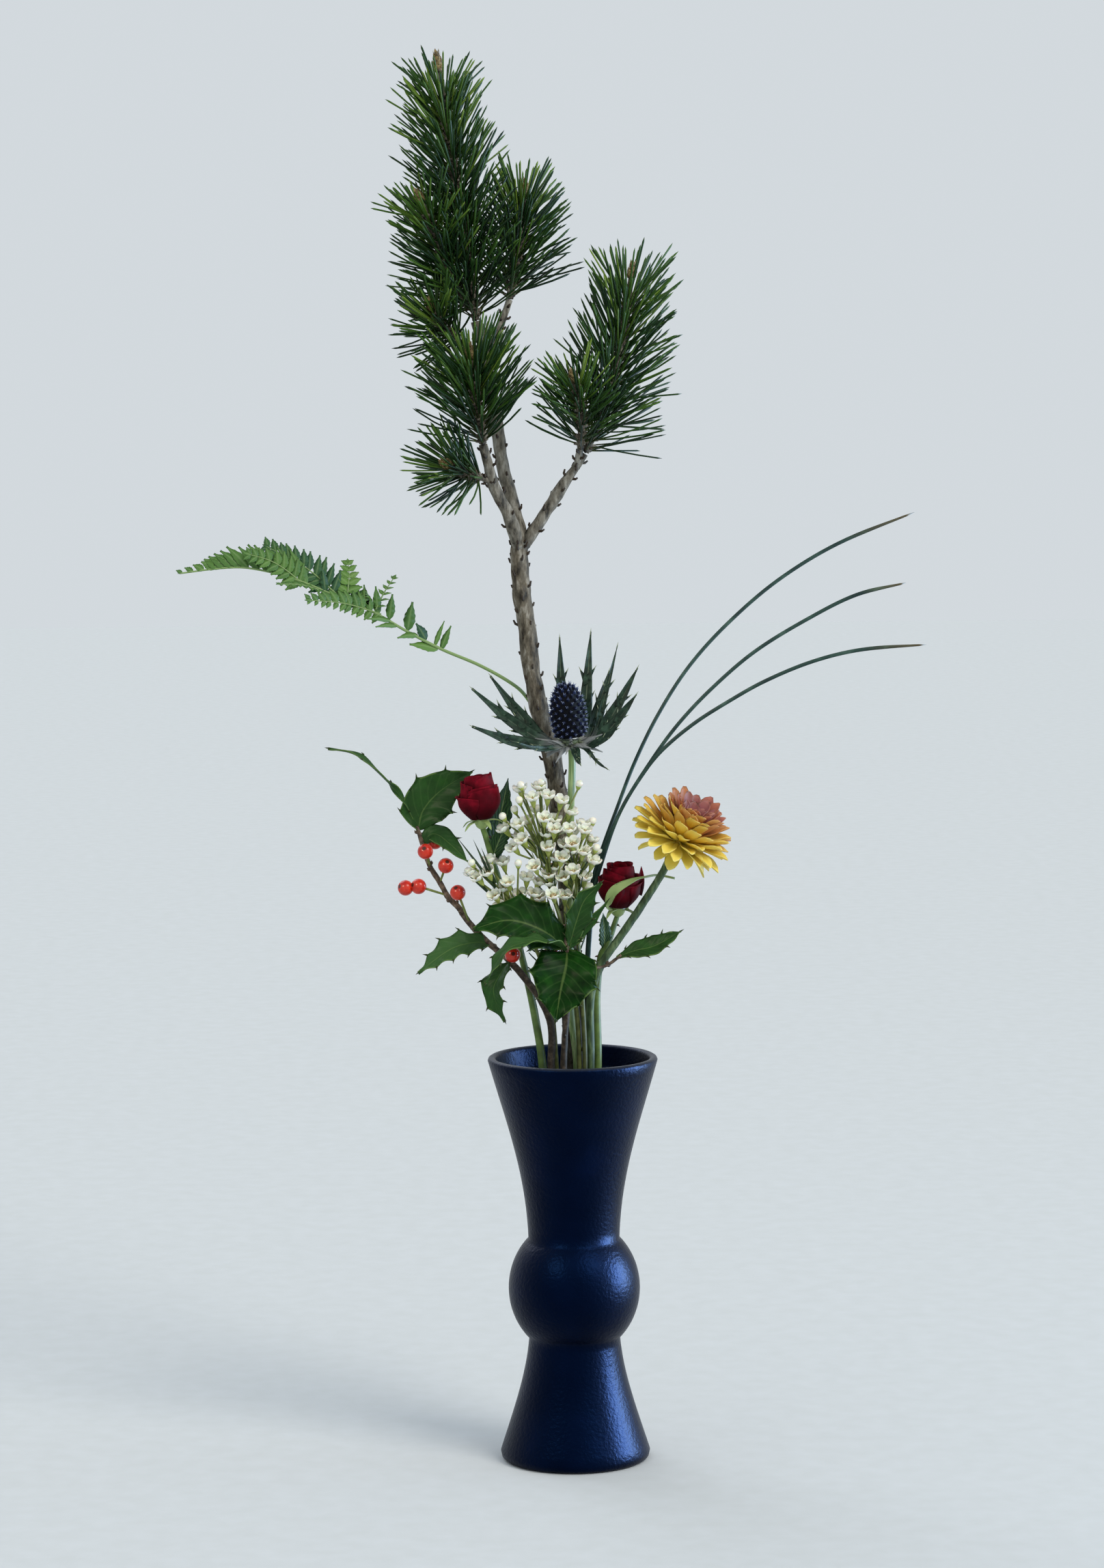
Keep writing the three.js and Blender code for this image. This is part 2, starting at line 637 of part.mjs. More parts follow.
function makeSeaHollyCone() {
  const foot = vec(CONE_FOOT);
  const top = vec(CONE_TOP);
  const axis = top.clone().sub(foot);
  const radiusAt = (t) => CONE_RADIUS * sqrt(max(0.05, 1 - pow(abs(2 * t - 0.8) / 1.25, 2.4)));
  const body = sweep(new THREE.LineCurve3(foot, top), { sides: 8, rings: 5, across: radiusAt });
  const studs = [body];
  for (let i = 0; i < STUDS; i++) {
    const t = mix(0.04, 0.98, (i + 0.5) / STUDS);
    const out = aroundAxis(axis.clone().normalize(), i * GOLDEN_ANGLE);
    const up = axis.clone().normalize().multiplyScalar(mix(-0.1, 1.6, pow(t, 3)));
    const way = out.clone().add(up).normalize();
    const surface = foot.clone().addScaledVector(axis, t).addScaledVector(out, radiusAt(t) - 1.2);
    const end = surface.clone().addScaledVector(way, STUD_LENGTH);
    const face = axis.toArray();
    const line = new THREE.LineCurve3(surface, end);
    studs.push(sweep(line, { sides: 3, rings: 1, across: () => STUD_RADIUS, face, pointed: true }));
  }
  keepClear('sea_holly_cone', [foot.toArray(), top.toArray()], CONE_RADIUS + 2, CONE_RADIUS + 2);
  return oneBody(join(studs));
}

// Steel grass: three long narrow blades
const GRASS_BLADES = {
  upper: [[9, 10, 160], [8.5, 9, 246], [8, 9, 290], [11, 10, 332], [12, 11, 352], [18, 12, 373],
    [28, 14, 400], [39, 16, 428], [54, 19, 458], [73, 22, 487], [97, 26, 513], [128, 30, 539],
    [165, 34, 561], [213, 38, 580]],
  middle: [[8.5, 6, 160], [11.5, 6.5, 246], [8.5, 5, 290], [10.5, 5.5, 328], [13, 6, 353],
    [19, 7, 372], [31, 8, 401], [49, 8, 430], [66, 8, 453], [87, 8, 475], [113, 8, 497],
    [146, 8, 517], [175, 8, 531], [205, 8, 538]],
  lower: [[8.8, 2.4, 160], [10.5, 3, 246], [9.5, 1, 291], [11.5, 1, 328], [14.5, 1, 354], [19, 1, 370],
    [30, 1, 400], [46, 0, 426], [57, -2, 439], [75, -4, 454], [95, -7, 467], [118, -10, 480],
    [147, -13, 492], [176, -16, 499], [215, -20, 502]],
};

function makeGrass(name) {
  const points = GRASS_BLADES[name];
  const across = (t) => (t > 0.93 ? 0.6 : 1.25);
  const rings = points.length - 1;
  keepClear(`grass_${name}`, points, 1.3, 1.3);
  standIn(points, 1.3, 4);
  return sweep(path(points), { sides: 4, rings, across, deep: () => 0.55 });
}

// A petal or sepal: a narrow keeled spindle from its root, broadest at its shoulder near the tip
const SHOULDER = 0.74;

function petal(root, way, up, options) {
  const { length, halfWidth, curl = 0, cup = 0.25, thick = 0.55 } = options;
  const shoulder = root.clone().addScaledVector(way, length * SHOULDER);
  shoulder.addScaledVector(up, curl * length * 0.4);
  const end = root.clone().addScaledVector(way, length * (1 - abs(curl) * 0.3));
  end.addScaledVector(up, curl * length);
  const rib = path([root.toArray(), shoulder.toArray(), end.toArray()]);
  const across = (t) => halfWidth * (t < 0.1 ? 0.35 : 1);
  const lift = (t) => across(t) * cup;
  const face = up.toArray();
  return sweep(rib, { sides: 4, rings: 2, across, deep: () => thick, lift, face, pointed: true });
}

// Chrysanthemum: yellow rays on a low disc, a bronze crown above them, a stem with a green cup
const MUM_STEM = [[8, -6, 150], [11, -7, 246], [11, -9, 284], [13, -10, 296], [19, -12, 310],
  [30, -13, 326], [43, -14, 345], [55, -15, 364], [60, -15.5, 373.5]];
const MUM_FOOT = [60, -15.5, 373.5];
const MUM_AXIS = [0.43, -0.26, 0.865];
const MUM_RAYS = [
  { lean: 108, height: 11.5, count: 6, length: 27, curl: -0.12 },
  { lean: 96, height: 11, count: 8, length: 32, curl: -0.1 },
  { lean: 84, height: 10.5, count: 9, length: 33, curl: -0.05 },
  { lean: 71, height: 9.5, count: 9, length: 33, curl: 0 },
  { lean: 57, height: 8.5, count: 8, length: 33, curl: 0.05 },
];
const MUM_CROWN = [
  { lean: 43, height: 18, count: 8, length: 29, curl: 0.1 },
  { lean: 28, height: 18.5, count: 5, length: 25, curl: 0.12 },
  { lean: 12, height: 19, count: 3, length: 21, curl: 0.1 },
];

function mumPetals(layers, halfWidth, firstTurn) {
  const axis = vec(MUM_AXIS).normalize();
  const petals = [];
  for (const [row, { lean, height, count, length, curl }] of layers.entries()) {
    for (let i = 0; i < count; i++) {
      const out = aroundAxis(axis, (2 * PI * (i + 0.5 * (row % 2))) / count + firstTurn);
      const tilt = radians(lean + 5 * (i % 2));
      const way = axis.clone().multiplyScalar(cos(tilt)).addScaledVector(out, sin(tilt));
      const up = axis.clone().multiplyScalar(sin(tilt)).addScaledVector(out, -cos(tilt));
      const root = vec(MUM_FOOT).addScaledVector(axis, height).addScaledVector(out, 2);
      const own = length * (i % 3 === 1 ? 0.93 : 1);
      petals.push(petal(root, way, up, { length: own, halfWidth, curl, cup: 0.3 }));
    }
  }
  return petals;
}

function mumCore(from, to, width) {
  const axis = vec(MUM_AXIS).normalize();
  const line = new THREE.LineCurve3(
    vec(MUM_FOOT).addScaledVector(axis, from),
    vec(MUM_FOOT).addScaledVector(axis, to),
  );
  return sweep(line, { sides: 8, rings: 2, across: width });
}

function makeMumRays() {
  const core = mumCore(4.2, 13, (t) => (t < 0.2 ? 5 : 8.5));
  return oneBody(join([core, ...mumPetals(MUM_RAYS, 3.6, 0)]));
}

function makeMumCrown() {
  const core = mumCore(13.4, 23, (t) => mix(6.5, 4, t));
  return oneBody(join([core, ...mumPetals(MUM_CROWN, 2.7, 0.2)]));
}

function makeMumStem() {
  keepClear('chrysanthemum_stem', MUM_STEM, 2.6, 2.4);
  standIn(MUM_STEM, 2.6);
  const cup = mumCore(-1.5, 3.8, (t) => mix(2.6, 5.5, sqrt(t)));
  return oneBody(join([stem(MUM_STEM, 2.6, 2.4), cup]));
}

// Spray roses: each a bud of wrapped petals above a stem with cup, sepals and leaves
const ROSE_LEFT = {
  stem: [[-13, -5, 165], [-18.5, -4, 246], [-22, -2, 271], [-27, 0, 296], [-33, -1, 322],
    [-40, -5, 347], [-48, -10, 373], [-52, -13, 388], [-53.5, -14.5, 392.5]],
  axis: [-0.1, -0.06, 0.99],
  turn: 0.4,
};
const ROSE_RIGHT = {
  stem: [[12, -1, 165], [15.5, -1, 246], [15, -1, 284], [16, -1, 300], [18, -2, 313],
    [22, -3, 320], [26, -3, 331], [28, -3, 337]],
  axis: [0.1, -0.12, 0.97],
  turn: 1.05,
};
const CUP_HEIGHT = 6;
const BOWL_SHARE = 0.17;

// A bud: its wrapped petals are one sheet rolled round the axis, rising from a low bowl. The sheet's
// lip is scalloped into petals, each rolled out at its middle and more so toward the outside.
const ROSE_PETALS = 7;
const PETAL_COLUMNS = 3;
const PETAL_SPAN = radians(112);
const LIP_ROLL = 1.4;
const OUTER_HEIGHT = 0.64;
const SCALLOP = 3;

function rolledPetals(foot, axis, turn) {
  const columns = ROSE_PETALS * PETAL_COLUMNS;
  const sheet = new THREE.PlaneGeometry(1, 1, columns, 2);
  const position = sheet.attributes.position;
  for (let i = 0; i < position.count; i++) {
    const u = position.getX(i) + 0.5;
    const level = position.getY(i) + 0.5;
    const within = (u * ROSE_PETALS) % 1;
    const middle = within < 0.01 || within > 0.99 ? 0 : 1;
    const out = aroundAxis(axis, turn + u * ROSE_PETALS * PETAL_SPAN);
    const radius = mix(0.2, 1, pow(u, 0.8)) * ROSE_RADIUS;
    const bulge = level < 0.1 ? 0.8 : level < 0.9 ? 1 : 0.86;
    const lip = level > 0.9 ? middle * u * u * LIP_ROLL : 0;
    const top = ROSE_HEIGHT * mix(1, OUTER_HEIGHT, u * u) - (1 - middle) * mix(1, SCALLOP, u);
    const rise = mix(ROSE_HEIGHT * BOWL_SHARE, top, level);
    const place = foot.clone().addScaledVector(axis, rise).addScaledVector(out, radius * bulge + lip);
    position.setXYZ(i, place.x, place.y, place.z);
  }
  return thicken(sheet, BLADE);
}

function makeRoseBloom({ stem: points, axis: way, turn }) {
  const axis = vec(way).normalize();
  const foot = vec(points.at(-1)).addScaledVector(axis, CUP_HEIGHT + GAP);
  const top = foot.clone().addScaledVector(axis, ROSE_HEIGHT * BOWL_SHARE * 1.6);
  const width = (t) => ROSE_RADIUS * (t < 0.3 ? 0.42 : t < 0.7 ? 0.92 : 0.86);
  const bowl = sweep(new THREE.LineCurve3(foot, top), { sides: 8, rings: 2, across: width });
  return oneBody(bowl.add(rolledPetals(foot, axis, turn)));
}

// The green cup under a bud with its sepals, which hang back clear of the petals
const SEPAL_TILT = 100;

function roseCup({ stem: points, axis: way, turn }, sepals) {
  const axis = vec(way).normalize();
  const foot = vec(points.at(-1));
  const line = new THREE.LineCurve3(foot.clone(), foot.clone().addScaledVector(axis, CUP_HEIGHT));
  const parts = [sweep(line, { sides: 8, rings: 2, across: (t) => mix(2, 5.2, sqrt(t)) })];
  for (let i = 0; i < sepals; i++) {
    const out = aroundAxis(axis, turn + (2 * PI * i) / sepals);
    const root = foot.clone().addScaledVector(axis, CUP_HEIGHT - 1.4).addScaledVector(out, 3);
    const tilt = radians(SEPAL_TILT);
    const away = axis.clone().multiplyScalar(cos(tilt)).addScaledVector(out, sin(tilt));
    const up = axis.clone().multiplyScalar(sin(tilt)).addScaledVector(out, -cos(tilt));
    parts.push(petal(root, away, up, { length: 13, halfWidth: 2, curl: -0.25, thick: 0.6 }));
  }
  return parts;
}

function roseLeaf(node, rib, halfWidth, face) {
  const halfWidths = toothed(halfWidth, 3, 0.85);
  return blade(rib, { node, halfWidths, face, fold: 0.2, rake: 0.15 });
}

function makeRoseLeftStem() {
  const node = 'rose_left_stem';
  const parts = [
    stem(ROSE_LEFT.stem, 2, 1.8),
    ...roseCup(ROSE_LEFT, 5),
    roseLeaf(node, [[-47, -9, 370], [-45, 1, 388], [-42, 3, 402], [-38, 3, 421]], 8,
      [0.3, -0.9, 0.1]),
    roseLeaf(node, [[-48, -10, 373], [-44, -12, 384], [-37, -13, 398]], 5.5, [0.3, -0.8, 0.5]),
  ];
  keepClear(node, ROSE_LEFT.stem, 2, 1.8);
  standIn(ROSE_LEFT.stem, 2);
  return oneBody(join(parts));
}

const LONG_SEPAL = [[26, -6, 341], [22, -16, 344], [25, -23, 354], [37, -22.5, 361],
  [46, -12, 362], [53, -5, 362], [63, -5, 360]];

function makeRoseRightStem() {
  const node = 'rose_right_stem';
  const parts = [
    stem(ROSE_RIGHT.stem, 2, 1.8),
    ...roseCup(ROSE_RIGHT, 4),
    stem(LONG_SEPAL, 1.3, 0.7, { sides: 4, deep: () => 0.5 }),
    roseLeaf(node, [[20, -2, 316], [20, -8, 327], [19, -12, 340]], 4.5, [0.3, -0.9, 0.3]),
  ];
  keepClear(node, ROSE_RIGHT.stem, 2, 1.8);
  standIn(ROSE_RIGHT.stem, 2);
  return oneBody(join(parts));
}

// Holly: brown twigs with spine-toothed leaves, and red berries held on short stalks
const HOLLY_LEFT_TWIG = [[-8, -11, 150], [-13, -10, 246], [-13, -11, 271], [-20, -12, 288],
  [-38, -12, 311], [-50, -10, 321], [-61, -7, 332], [-69, -5, 343], [-75, -3, 349], [-80, -2, 358],
  [-85, -1, 366], [-88, 0, 373], [-92, 2, 386], [-94, 3, 392]];
const HOLLY_FRONT_TWIG = [[-2, -14, 155], [-5.5, -16, 246], [-3, -22, 285], [-1.5, -26, 306],
  [-3, -28, 319], [-4, -27, 335]];
const HOLLY_LEFT_LEAVES = [
  { rib: [[-94, 3, 391], [-100, 2, 406], [-110, -2, 419], [-130, -5, 437], [-147, -6, 441]],
    halfWidth: 5, face: [-0.6, -0.12, 0.8], spines: 3, fullness: 1.5 },
  { rib: [[-93, 3, 390], [-90, 4, 402], [-79, 6, 414], [-60, 8, 425]],
    halfWidth: 16.5, face: [0.1, -0.95, 0.25], spines: 3, fullness: 0.65 },
  { rib: [[-91, 1.5, 382], [-84, -1, 388], [-74, -10, 383], [-62.5, -15, 371]],
    halfWidth: 7, face: [0.1, -0.8, 0.6], spines: 2 },
  { rib: [[-50, -10, 321], [-57, -15, 322.5], [-71, -21, 320], [-93, -26, 305]],
    halfWidth: 9.5, face: [-0.1, -0.75, 0.65], spines: 4 },
  { rib: [[-38, -12, 311], [-43, -18, 305], [-48, -23, 294], [-41, -26, 275]],
    halfWidth: 8, face: [-0.6, -0.75, 0.2], spines: 3 },
];
const HOLLY_FRONT_LEAVES = [
  { rib: [[-3, -28, 320], [-19, -33, 334], [-39, -36, 339], [-58, -38, 333]],
    halfWidth: 16, face: [0, -0.85, 0.5], spines: 4 },
  { rib: [[-3, -28, 319], [-12, -41, 326], [-24, -49, 328], [-40, -56, 323], [-52, -58, 303]],
    halfWidth: 9, face: [-0.2, -0.3, 0.93], spines: 4 },
  { rib: [[-3, -28, 319], [-3.5, -38, 312], [-7, -44, 296], [-10, -46, 277]],
    halfWidth: 21, face: [0.1, -0.9, 0.4], spines: 3 },
  { rib: [[-2, -28, 321], [3, -31, 339], [8, -33, 351], [18, -33, 361]],
    halfWidth: 8.5, face: [0.3, -0.9, -0.2], spines: 3 },
  { rib: [[-2, -28, 320], [10, -27, 335], [22, -25, 349]],
    halfWidth: 2.6, face: [0.4, -0.9, 0], spines: 2 },
  { rib: [[27, -22, 314], [37, -22, 318], [48, -23, 322], [66, -25, 330]],
    halfWidth: 7.5, face: [-0.2, -0.75, 0.6], spines: 3 },
];
const LAST_LEAF_STALK = [[-2, -28, 318], [6, -28, 311], [18, -22, 308], [30, -22, 315]];

const BROAD_LEAF = 10;
const HOLLY_NOTCH = 0.8;

function hollyLeaf(node, { rib, halfWidth, face, spines, fullness }) {
  const halfWidths = toothed(halfWidth, spines, HOLLY_NOTCH, fullness);
  const columns = halfWidth > BROAD_LEAF ? 2 : 1;
  return blade(rib, { node, halfWidths, face, columns, fold: 0.18, rake: 0.12 });
}

// Berries by where they hang: the point of the twig that carries each one, and its centre
const BERRIES = {
  left_pair: { from: [-75, -3, 350], centres: [[-93, -5, 356], [-101, -3.5, 355]] },
  left_low: { from: [-62, -7, 333], centres: [[-69, -13, 353]] },
  left_middle: { from: [-80, -2, 358], centres: [[-76.2, -8.5, 369]] },
  left_front: { from: [-86, -1, 368], centres: [[-88.5, -10.5, 378]] },
  left_back: { from: [-88, 0, 373], centres: [[-83, 5, 382.3]] },
  under_leaf: { from: [-38, -12, 311], centres: [[-36, -23, 316]] },
};
const FRONT_BERRIES = {
  front: { from: [-2, -27, 310], centres: [[-12, -24, 318]] },
};

// The stalk of a berry ends a gap before its skin
function berryStalk({ from, centres }) {
  const start = vec(from);
  const centre = vec(centres[0]);
  const way = centre.clone().sub(start);
  const end = centre.clone().addScaledVector(way.normalize(), -(BERRY_RADIUS + 0.3));
  return sweep(new THREE.LineCurve3(start, end), { sides: 4, rings: 1, across: () => 0.8 });
}

function makeBerry({ centres }) {
  const balls = centres.map((centre) => {
    const ball = new THREE.SphereGeometry(BERRY_RADIUS, 7, 5);
    ball.rotateX(PI / 2);
    ball.translate(...centre);
    return solid(ball);
  });
  return oneBody(join(balls));
}

function makeHollyLeft() {
  keepClear('holly_left', HOLLY_LEFT_TWIG, 2.2, 1.4);
  standIn(HOLLY_LEFT_TWIG, 2.2);
  return oneBody(join([
    stem(HOLLY_LEFT_TWIG, 2.2, 1.2),
    ...HOLLY_LEFT_LEAVES.map((leaf) => hollyLeaf('holly_left', leaf)),
    ...Object.values(BERRIES).map(berryStalk),
  ]));
}

function makeHollyFront() {
  keepClear('holly_front', HOLLY_FRONT_TWIG, 2, 1.4);
  keepClear('holly_front', LAST_LEAF_STALK, 1, 0.9);
  standIn(HOLLY_FRONT_TWIG, 2);
  return oneBody(join([
    stem(HOLLY_FRONT_TWIG, 2, 1.3),
    stem(LAST_LEAF_STALK, 1, 0.9, { sides: 4 }),
    ...HOLLY_FRONT_LEAVES.map((leaf) => hollyLeaf('holly_front', leaf)),
    ...Object.values(FRONT_BERRIES).map(berryStalk),
  ]));
}

// Waxflower: three sprigs of thin stalks with five-petalled cups, round buds and needle leaves.
// Each floret hangs on the branch point of its sprig that is given with it.
const WAX_SPRIGS = {
  left: {
    stem: [[-7, -3, 160], [-10, -3, 246], [-13, -8, 285], [-18, -13, 308], [-26, -18, 328],
      [-33, -22, 341]],
    florets: [[-50, -26, 366], [-56, -25, 363], [-46, -27, 352], [-38, -28, 360], [-31, -22, 352],
      [-27, -22, 362], [-41, -18, 371]],
    buds: [[-32, -29, 372], [-60, -24, 372]],
  },
  centre: {
    stem: [[2, -11, 160], [4, -12, 246], [2, -15, 290], [-3, -18, 320], [-9, -21, 345],
      [-14, -22, 365], [-17, -23, 380]],
    florets: [[-23, -27, 411], [-14, -25, 412], [-6, -24, 409], [-16, -31, 399], [-31, -26, 395],
      [-14, -28, 381], [-10, -29, 392], [-29, -28, 386], [-22, -32, 370], [-18, -22, 350],
      [-11, -33, 353], [-6, -31, 375], [-20, -14, 402], [-24, -13, 383]],
    buds: [[-30, -26, 419], [-18, -21, 420], [-31, -27, 410], [-34, -21, 404], [-41, -24, 400],
      [5, -22, 419]],
  },
  right: {
    stem: [[5, -12, 160], [7.5, -12.5, 246], [6, -17, 290], [4, -20, 320], [3, -22, 345],
      [3, -22, 362], [2, -22, 372]],
    florets: [[-1, -27, 392], [8, -25, 391], [1, -31, 384], [7, -25, 378], [13, -23, 372],
      [1, -29, 367], [8, -24, 362], [-4.5, -28, 363], [12, -14, 384]],
    buds: [[15, -20, 380], [13, -18, 396]],
  },
};
const FLORET_DEPTH = 6;
const STALK_RADIUS = 0.65;
const STALK_SIDES = 3;
const PETALS = 5;

// A flower head on its own three-sided stalk, as one closed shape. rings gives each ring past the
// stalk as its distance along the way, and its radius at the corners and between them.
function headOnStalk(from, root, way, corners, rings, middle) {
  const shape = new THREE.CylinderGeometry(1, 1, 1, corners, rings.length + 1);
  const position = shape.attributes.position;
  const stalk = root.clone().sub(from).normalize();
  const around = abs(way.z) > 0.9 ? vec([1, 0, 0]) : vec([0, 0, 1]);
  for (let i = 0; i < position.count; i++) {
    const x = position.getX(i);
    const z = position.getZ(i);
    const ring = Math.round((position.getY(i) + 0.5) * (rings.length + 1));
    const spoke = (Math.round((Math.atan2(x, z) / (2 * PI)) * corners) + corners) % corners;
    const onStalk = ring < 2;
    const axis = ring < 1 ? stalk : way;
    const side = around.clone().cross(axis).normalize();
    const other = side.clone().cross(axis);
    const corner = onStalk ? Math.floor((spoke * STALK_SIDES) / corners) / STALK_SIDES : spoke / corners;
    const [rise, outer, inner] = onStalk ? [0, STALK_RADIUS, STALK_RADIUS] : rings[ring - 2];
    const isMiddle = Math.hypot(x, z) < WELD;
    const radius = isMiddle ? 0 : spoke % 2 ? inner : outer;
    const sunk = !isMiddle && spoke % 2 && inner < outer ? outer - inner : 0;
    const place = (ring < 1 ? from : root).clone();
    place.addScaledVector(way, isMiddle && !onStalk ? middle : rise - sunk * 0.8);
    place.addScaledVector(side, radius * sin(2 * PI * corner));
    place.addScaledVector(other, radius * cos(2 * PI * corner));
    position.setXYZ(i, place.x, place.y, place.z);
  }
  return solid(shape);
}

// The branch point of a sprig for a floret: on the upper half of its stem and at least SHORTEST_STALK
// below the floret. Stalks that share a place are set a little apart along the stem.
const BRANCH_STEP = 0.05;
const SHORTEST_STALK = 12;
const BRANCH_SLACK = 2;
const STALKS_APART = 0.02;
const STALKS_A_ROUND = 7;

function branchPoint(curve, centre, order) {
  let best = 0.5;
  for (let t = best; t <= 1; t += BRANCH_STEP) {
    const place = curve.getPoint(t);
    const reach = curve.getPoint(best).distanceTo(centre) + BRANCH_SLACK;
    if (place.z < centre.z - SHORTEST_STALK && place.distanceTo(centre) < reach) {
      best = t;
    }
  }
  return curve.getPoint(best - STALKS_APART * (order % STALKS_A_ROUND));
}

function makeWaxflower(name, { stem: points, florets, buds }) {
  const node = `waxflower_${name}`;
  const curve = path(points);
  const parts = [stem(points, 1.4, 1.1, { sides: 4 })];
  keepClear(node, points, 1.4, 1.1);
  standIn(points, 1.4, 4);
  const heads = [...florets.map((p) => [p, 1]), ...buds.map((p) => [p, 0.6])];
  for (const [i, [place, size]] of heads.entries()) {
    const centre = vec(place);
    const from = branchPoint(curve, centre, i);
    const way = centre.clone().sub(from).normalize();
    way.add(vec([0, -0.5, 0.35])).normalize();
    const root = centre.clone().addScaledVector(way, -FLORET_DEPTH * 0.6 * size);
    keepClear(node, [from.toArray(), root.toArray()], 0.6, 0.6);
    placed.push({ node, a: root, b: centre.clone().addScaledVector(way, 1), radius: 3.6 * size });
    const open = [[FLORET_DEPTH, FLORET_RADIUS, FLORET_RADIUS * 0.62]];
    const shut = [[1.2, 2.2, 2.2], [3.4, 2, 2]];
    parts.push(size < 1
      ? headOnStalk(from, root, way, PETALS, shut, 4.8)
      : headOnStalk(from, root, way, PETALS * 2, open, FLORET_DEPTH * 0.45));
  }
  return oneBody(join([...parts, ...waxLeaves(node, curve, name.length)]));
}

// Thin needle leaves along the upper stem
const WAX_LEAVES = 9;
const WAX_LEAF_RADIUS = 0.6;

function waxLeaves(node, curve, seed) {
  const random = seededRandom(seed);
  const leaves = [];
  for (let i = 0; i < WAX_LEAVES; i++) {
    const t = mix(0.45, 0.98, (i + random()) / WAX_LEAVES);
    const axis = curve.getTangent(t);
    const out = aroundAxis(axis, i * GOLDEN_ANGLE);
    const root = curve.getPoint(t);
    const way = axis.clone().multiplyScalar(0.7).addScaledVector(out, 0.7);
    const end = root.clone().addScaledVector(way, mix(13, 19, random()));
    if (isClear(node, [root, end], WAX_LEAF_RADIUS)) {
      const line = new THREE.LineCurve3(root, end);
      const across = () => WAX_LEAF_RADIUS;
      const face = axis.toArray();
      leaves.push(sweep(line, { sides: 3, rings: 1, across, face, pointed: true }));
      placed.push({ node, a: root, b: end, radius: WAX_LEAF_RADIUS });
    }
  }
  return leaves;
}

// Colours, roughness and metalness as the photograph shows them
const MATERIALS = {
  glaze: ['#0d1530', 0.42, 0],
  water: ['#5f6f78', 0.08, 0],
  bark: ['#6a5848', 0.85, 0],
  needles: ['#2c4a2a', 0.6, 0],
  fern: ['#5a7c3c', 0.6, 0],
  bracts: ['#4a5f50', 0.65, 0],
  cone: ['#1d2848', 0.6, 0],
  grass: ['#2b3d4a', 0.5, 0],
  rays: ['#d4ac38', 0.6, 0],
  crown: ['#a8563f', 0.6, 0],
  greenStem: ['#5d7a3f', 0.6, 0],
  rose: ['#7a0c1c', 0.55, 0],
  waxflower: ['#dfe3cf', 0.6, 0],
  holly: ['#24452b', 0.4, 0],
  berry: ['#c02a20', 0.3, 0],
};

const arrangement = new THREE.Group();

function add(name, body, look) {
  const { vertProperties, triVerts } = body.getMesh();
  const geometry = new THREE.BufferGeometry();
  geometry.setAttribute('position', new THREE.BufferAttribute(vertProperties, 3));
  geometry.setIndex(new THREE.BufferAttribute(triVerts, 1));
  geometry.computeVertexNormals();
  const [color, roughness, metalness] = MATERIALS[look];
  const material = new THREE.MeshStandardMaterial({ color, roughness, metalness });
  const mesh = new THREE.Mesh(geometry, material);
  mesh.name = name;
  arrangement.add(mesh);
}

add('vase', makeVase(), 'glaze');
add('chrysanthemum_stem', makeMumStem(), 'greenStem');
add('chrysanthemum_rays', makeMumRays(), 'rays');
add('chrysanthemum_crown', makeMumCrown(), 'crown');
add('rose_left_stem', makeRoseLeftStem(), 'greenStem');
add('rose_left_bloom', makeRoseBloom(ROSE_LEFT), 'rose');
add('rose_right_stem', makeRoseRightStem(), 'greenStem');
add('rose_right_bloom', makeRoseBloom(ROSE_RIGHT), 'rose');
add('holly_left', makeHollyLeft(), 'holly');
add('holly_front', makeHollyFront(), 'holly');
for (const [name, berry] of Object.entries({ ...BERRIES, ...FRONT_BERRIES })) {
  add(`holly_berry_${name}`, makeBerry(berry), 'berry');
}
add('sea_holly_stem', makeSeaHollyStem(), 'bracts');
add('sea_holly_cone', makeSeaHollyCone(), 'cone');
for (const name of Object.keys(GRASS_BLADES)) {
  add(`grass_${name}`, makeGrass(name), 'grass');
}
add('fern_frond', makeFern(), 'fern');
for (const [name, sprig] of Object.entries(WAX_SPRIGS)) {
  add(`waxflower_${name}`, makeWaxflower(name, sprig), 'waxflower');
}
add('pine_wood', makePineWood(), 'bark');
for (const [name, { shoot, side }] of Object.entries(PINE_SPRAYS)) {
  keepClear(`pine_needles_${name}`, shoot, SHOOT_RADIUS, SHOOT_RADIUS);
  if (side) {
    keepClear(`pine_needles_${name}`, side.shoot, SHOOT_RADIUS, SHOOT_RADIUS);
  }
}
for (const [name, spray] of Object.entries(PINE_SPRAYS)) {
  add(`pine_needles_${name}`, makeSpray(name, spray), 'needles');
}
add('water', makeWater(), 'water');

export default arrangement;
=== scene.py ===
# %% [markdown]
# This file builds an ikebana arrangement in Blender: plants of a winter garden in a tall dark vase.
# The plain solids of every part come from a CAD model, the frame. They show where each part is and
# how large it is. Each step here replaces one of them by a finer piece in the same place.

import math
import random

import bmesh
import bpy
from mathutils import Matrix, Vector, noise
from mathutils.geometry import interpolate_bezier


